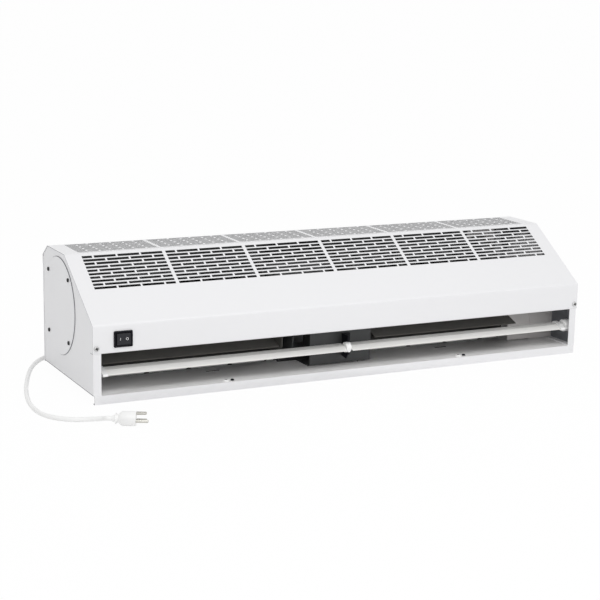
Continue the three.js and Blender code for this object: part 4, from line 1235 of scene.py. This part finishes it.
def makePlugBlade(name, node, side):
    shape = plugShape
    y = side * shape["bladeSpacing"] / 2
    z = shape["bladeRise"]
    halfThickness, halfWidth = shape["bladeThickness"] / 2, shape["bladeWidth"] / 2
    tip = shape["length"] + shape["bladeLength"]
    blade = addBlock(
        name,
        ((shape["length"] + 0.1) * mm, (y - halfThickness) * mm, (z - halfWidth) * mm),
        (tip * mm, (y + halfThickness) * mm, (z + halfWidth) * mm),
    )
    startEdit(blade)
    choose("EDGE", lambda c, e: c.x > tip * mm - 1e-7 and abs(c.z / mm - z) > 1)
    bevelEdges(1.6, 4)
    endEdit()
    hole = addRound("bladeHole", shape["holeRadius"] * mm, 6 * mm, 20)
    place(hole, ((tip - shape["holeInset"]) * mm, y * mm, z * mm), (math.pi / 2, 0, 0))
    modify(blade, "BOOLEAN", operation="DIFFERENCE", object=hole, solver="EXACT")
    discard(hole)
    roundEdges(blade, 0.2 * mm, 2, 40.0)
    smooth(blade, 30.0)
    placeOnPlug(blade)
    dress(blade, platedBrass, "case", "plated_brass", node)
    return blade


def makePlugPin():
    shape = plugShape
    half = shape["pinLength"] / 2
    pin = addRound("plugGroundPin", shape["pinRadius"] * mm, shape["pinLength"] * mm, 32)
    startEdit(pin)
    choose("FACE", lambda c, f: c.z > half * mm - 1e-7)
    bevelEdges(1.7, 6)
    endEdit()
    middle = ((shape["length"] + half) * mm, 0, (shape["bladeRise"] - shape["pinOffset"]) * mm)
    place(pin, middle, (0, math.pi / 2, 0))
    smooth(pin, 35.0)
    placeOnPlug(pin)
    dress(pin, platedBrass, "case", "plated_brass", "plug_ground_pin")
    return pin


# Strain relief where the cord leaves the back

glandShape = {
    "flange": 10.1,
    "flangeThickness": 3.0,
    "root": 6.6,
    "tip": 4.5,
    "ribs": 7,
    "ribRise": 0.6,
    "nut": 10.5,
    "neck": 7.4,
    "gap": 0.3,
    "shoulder": 0.8,
}


def makeGland():
    shape = glandShape
    low, high, middle = boxOf("cord_gland")
    panelLow, panelHigh, _ = boxOf("rear_panel")
    inner = panelLow.y - shape["gap"] * mm
    outer = panelHigh.y + shape["gap"] * mm
    flangeEnd = panelHigh.y + shape["flangeThickness"] * mm
    begin = panelHigh.y + (shape["flangeThickness"] + shape["shoulder"]) * mm
    ringPlaces = [
        (low.y, shape["nut"]), (inner, shape["nut"]), (inner, shape["neck"]), (outer, shape["neck"]),
        (outer, shape["flange"]), (flangeEnd, shape["flange"]), (begin, shape["root"] + 1.2),
    ]
    step = (high.y - begin) / (shape["ribs"] * 4)
    for i in range(shape["ribs"] * 4 + 1):
        share = i / (shape["ribs"] * 4)
        radius = shape["root"] + (shape["tip"] - shape["root"]) * share
        if i % 4 in (1, 2):
            radius += shape["ribRise"] * (1 - 0.5 * share)
        ringPlaces.append((begin + step * i, radius))
    clearSelection()
    bpy.ops.mesh.primitive_circle_add(vertices=40, radius=ringPlaces[0][1] * mm, fill_type="NGON")
    gland = named("strainRelief")
    startEdit(gland)
    lastPlace, lastRadius = ringPlaces[0]
    for y, radius in ringPlaces[1:]:
        extrude(0, 0, y - lastPlace)
        bpy.ops.transform.resize(value=(radius / lastRadius, radius / lastRadius, 1))
        lastPlace, lastRadius = y, radius
    bpy.ops.mesh.select_all(action="SELECT")
    bpy.ops.mesh.remove_doubles(threshold=0.001 * mm)
    faceOutward()
    endEdit()
    place(gland, (middle.x, low.y, middle.z), (-math.pi / 2, 0, 0))
    finish(gland, 40.0, cordPlastic, "case", "cord_plastic", "cord_gland")
    return gland


tieShape = {
    "corner": 3.2,
    "sheet": 0.7,
}


def makeTie():
    low, high, _ = boxOf("cord_tie")
    tie = addBlock("coilTie", low, high)
    startEdit(tie)
    choose("FACE", lambda c, f: abs(f.normal.x) > 0.9)
    bpy.ops.mesh.delete(type="ONLY_FACE")
    choose("EDGE", lambda c, e: abs(e.verts[0].co.x - e.verts[1].co.x) > 1e-6)
    bevelEdges(tieShape["corner"], 5)
    faceOutward()
    endEdit()
    modify(tie, "SOLIDIFY", thickness=tieShape["sheet"] * mm, offset=-1.0, use_even_offset=True)
    roundEdges(tie, 0.12 * mm, 1, 60.0)
    finish(tie, 40.0, switchBlack, "case", "black_plastic", "cord_tie")
    return tie


# Base plate, with painted light on the duct floor in the outlet, painted shade where the volutes cover it
# and in the floor slots, and a painted shadow line on its ends

sheetEdge = 0.3
basePlateShape = {
    "ducts": ((-434.0, -66.0), (54.5, 350.0)),
    "voluteFoot": -21.5,
    "front": -116.0,
    "floorTop": 14.0,
    "slotX": 217.8,
    "slotY": -46.2,
    "slotReach": (12.0, 6.0),
    "endStart": 440.0,
}


def makeBasePlate():
    shape = basePlateShape
    foot = shape["voluteFoot"] * mm
    plate = softened("base_plate", sheetEdge, powderCoat, "case_paint")
    for start, end in shape["ducts"]:
        slicePiece(plate, (start, 0, 0), (1, 0, 0))
        slicePiece(plate, (end, 0, 0), (1, 0, 0))
    slicePiece(plate, (0, shape["voluteFoot"], 0), (0, 1, 0))

    def onDuctFloor(c, n):
        level = n.z > 0.9 and abs(c.z - shape["floorTop"] * mm) < 0.5 * mm
        return level and shape["front"] * mm < c.y < foot

    def underVolute(c, n):
        inDuct = any(start * mm < c.x < end * mm for start, end in shape["ducts"])
        return inDuct and n.z >= 0.9 and c.y >= foot

    def inFloorSlot(c, n):
        offX = abs(abs(c.x) - shape["slotX"] * mm)
        offY = abs(c.y - shape["slotY"] * mm)
        reachX, reachY = shape["slotReach"]
        return abs(n.z) < 0.5 and offX < reachX * mm and offY < reachY * mm

    # painted light on the duct floor, painted shade under the volutes and in the floor slots, a painted
    # shadow line on the plate's ends
    coatFaces(plate, ductWhite, onDuctFloor)
    coatFaces(plate, darkCoat, underVolute)
    coatFaces(plate, switchBlack, inFloorSlot)
    coatFaces(plate, edgeGrey, lambda c, n: abs(n.x) > 0.9 and abs(c.x) > shape["endStart"] * mm)


def makeRearPanel():
    panel = softened("rear_panel", sheetEdge, powderCoat, "case_paint")
    for x in (-innerHalf, innerHalf):
        slicePiece(panel, (x, 0, 0), (1, 0, 0))
    # inner face painted near black as shade inside the case
    coatFaces(panel, motorPaint, lambda c, n: n.y < -0.5 and abs(c.x) < innerHalf * mm)


# End caps, slate inside, with a painted shadow line along the lower edge

endCapShape = {
    "wallStart": 440.0,
    "lowerEdge": 1.3,
}


def makeEndCap(side, name):
    shape = endCapShape
    cap = softened(f"{name}_end_cap", sheetEdge, powderCoat, "case_paint")
    lowest = boxOf(f"{name}_end_cap")[0].z
    slicePiece(cap, (0, 0, lowest / mm + shape["lowerEdge"]), (0, 0, 1))
    coatFaces(cap, slateCoat, lambda c, n: n.x * side < -0.5 and abs(c.x) > shape["wallStart"] * mm)
    # a strip along the lower edge painted grey as a shadow line
    coatFaces(cap, edgeGrey, lambda c, n: n.x * side > 0.5 and c.z < lowest + shape["lowerEdge"] * mm)


# Volutes, painted near black above as deep shade, with painted shade lower down and painted light at the
# front of the duct's lower sheet and past the tray start

voluteShape = {
    "lightHeight": 17.5,
    "lightDepth": 1.0,
    "darkHeight": 60.0,
    "trayStart": 352.5,
}


def makeVolute(name):
    shape = voluteShape
    depth = shape["lightDepth"]
    volute = softened(f"{name}_volute", sheetEdge, motorPaint, "dark_sheet")
    slicePiece(volute, (shape["trayStart"], 0, 0), (1, 0, 0))
    slicePiece(volute, (0, depth, 0), (0, 1, 0))
    # bands of painted shade and painted light by height, depth and place along the duct
    coatFaces(volute, darkCoat, lambda c, n: c.z < shape["darkHeight"] * mm)
    coatFaces(volute, ductWhite, lambda c, n: c.z < shape["lightHeight"] * mm and c.y < depth * mm)
    coatFaces(volute, paleSheet, lambda c, n: c.x > shape["trayStart"] * mm)


# Making everything, cords first

cordPiece, cordLine, cordLength = makeCord()
plugPieces = [
    makePlugBody(),
    makePlugBlade("plugBladeLine", "plug_blade_line", 1),
    makePlugBlade("plugBladeNeutral", "plug_blade_neutral", -1),
    makePlugPin(),
]
gland = makeGland()
tie = makeTie()
print("cord, plug and gland made")

makeCover()
for side, name in ((-1, "left"), (1, "right")):
    makeRoundCover(side, f"{name}_round_cover")
    makeWheel(f"{name}_wheel")
placeScrews()
makeSwitch()
makeRocker()
print("cover, round covers, wheels, screws and switch made")

makeBasePlate()
makeRearPanel()
for side, name in ((-1, "left"), (1, "right")):
    makeEndCap(side, name)
    makeVolute(name)
# dark sheet, with painted shade of the duct interior
for node in (
    "left_outer_side_plate", "left_inner_side_plate", "right_inner_side_plate", "right_outer_side_plate",
    "left_tongue", "right_tongue",
):
    softened(node, sheetEdge, darkCoat, "dark_sheet")
softened("vane_blade", 0.5, vanePlastic, "vane_plastic", 3)
for node in ("left_vane_cap", "right_vane_cap", "left_vane_bearing", "right_vane_bearing"):
    softened(node, 0.5, whiteNylon, "vane_plastic", 3)
makeClip()
softened("vane_bracket", sheetEdge, switchBlack, "motor_steel")
softened("motor_casing", sheetEdge, motorPaint, "motor_steel")
plate = softened("motor_plate", sheetEdge, motorPaint, "motor_steel")
cutCorner(plate, cornerShape["plateRight"], cornerShape["plateNear"])
cradle = softened("motor_cradle", sheetEdge, motorPaint, "motor_steel")
cutCorner(cradle, cornerShape["cradleRight"], cornerShape["cradleNear"])
# dark as painted shade, so the floor slots above it read dark
softened("wall_bracket", 0.2, darkCoat, "dark_sheet")
softened("wiring_tray", 0.2, paleSheet, "galvanised")
makeTrayWing()
softened("capacitor_strap", 0.2, galvanised, "galvanised")
softened("shaft", 0.4, brightSteel, "bright_steel", name="driveShaft")
for side in ("left", "right"):
    softened(f"{side}_bearing", 0.3, brightSteel, "bright_steel")
    softened(f"{side}_bearing_rubber", 0.6, blackRubber, "rubber")
softened("capacitor", 1.0, whitePlastic, "white_plastic", 3, name="capacitorBody")
softened("terminal_block", 0.4, whitePlastic, "white_plastic")
print("sheet pieces and inner pieces made")


# Stage: pale floor, white background, soft light

stageValues = {
    "floorSize": 80.0,
    "floorColour": (0.94, 0.94, 0.94),
    "floorWhiteShare": 0.97,
    "worldLight": 0.70,
    "keyPower": 12.0,
    "keyPlace": (-0.2, -1.25, 2.0),
    "keySize": (1.8, 1.2),
    "frontPower": 6.3,
    "frontPlace": (-0.2, -2.25, 0.92),
    "frontSize": (2.0, 0.8),
}


# 1 for camera, glossy and transmission rays, else 0
def whereSeen(tree):
    path = tree.nodes.new("ShaderNodeLightPath")
    seen = path.outputs["Is Camera Ray"]
    for kind in ("Is Glossy Ray", "Is Transmission Ray"):
        larger = addNode(tree, "Math", links={0: seen, 1: path.outputs[kind]})
        larger.operation = "MAXIMUM"
        seen = larger.outputs[0]
    return seen


def makeFloor():
    clearSelection()
    bpy.ops.mesh.primitive_plane_add(size=stageValues["floorSize"])
    floor = named("floor")
    material, tree, shader = startMaterial("floorPaper", stageValues["floorColour"], 0.9)
    shader.inputs["Specular IOR Level"].default_value = 0.0
    glow = addNode(tree, "Emission", {"Strength": 1.0})
    share = addNode(tree, "Math", {1: stageValues["floorWhiteShare"]}, {0: whereSeen(tree)})
    share.operation = "MULTIPLY"
    mix = addNode(tree, "MixShader", links={0: share.outputs[0], 1: shader.outputs[0], 2: glow.outputs[0]})
    tree.links.new(mix.outputs[0], tree.nodes["Material Output"].inputs["Surface"])
    floor.data.materials.append(material)


def makeWorld():
    world = bpy.data.worlds.new("studio")
    world.use_nodes = True
    tree = world.node_tree
    background = tree.nodes["Background"]
    background.inputs["Color"].default_value = (1, 1, 1, 1)
    strength = addRange(tree, whereSeen(tree), stageValues["worldLight"], 1.0, 0.0, 1.0)
    tree.links.new(strength, background.inputs["Strength"])
    bpy.context.scene.world = world


def makeLamp(name, power, at, size, aim=(0, 0, 0.1)):
    data = bpy.data.lights.new(name, "AREA")
    data.shape = "RECTANGLE"
    data.size, data.size_y = size
    data.energy = power
    lamp = bpy.data.objects.new(name, data)
    link(lamp)
    turn = (Vector(aim) - Vector(at)).to_track_quat("-Z", "Y").to_matrix().to_4x4()
    lamp.matrix_world = Matrix.Translation(at) @ turn


makeFloor()
makeWorld()
for lamp in ("key", "front"):
    power, at, size = (stageValues[lamp + part] for part in ("Power", "Place", "Size"))
    makeLamp(lamp + "Light", power, at, size)
bpy.context.scene.view_settings.view_transform = "Standard"
print("stage made")
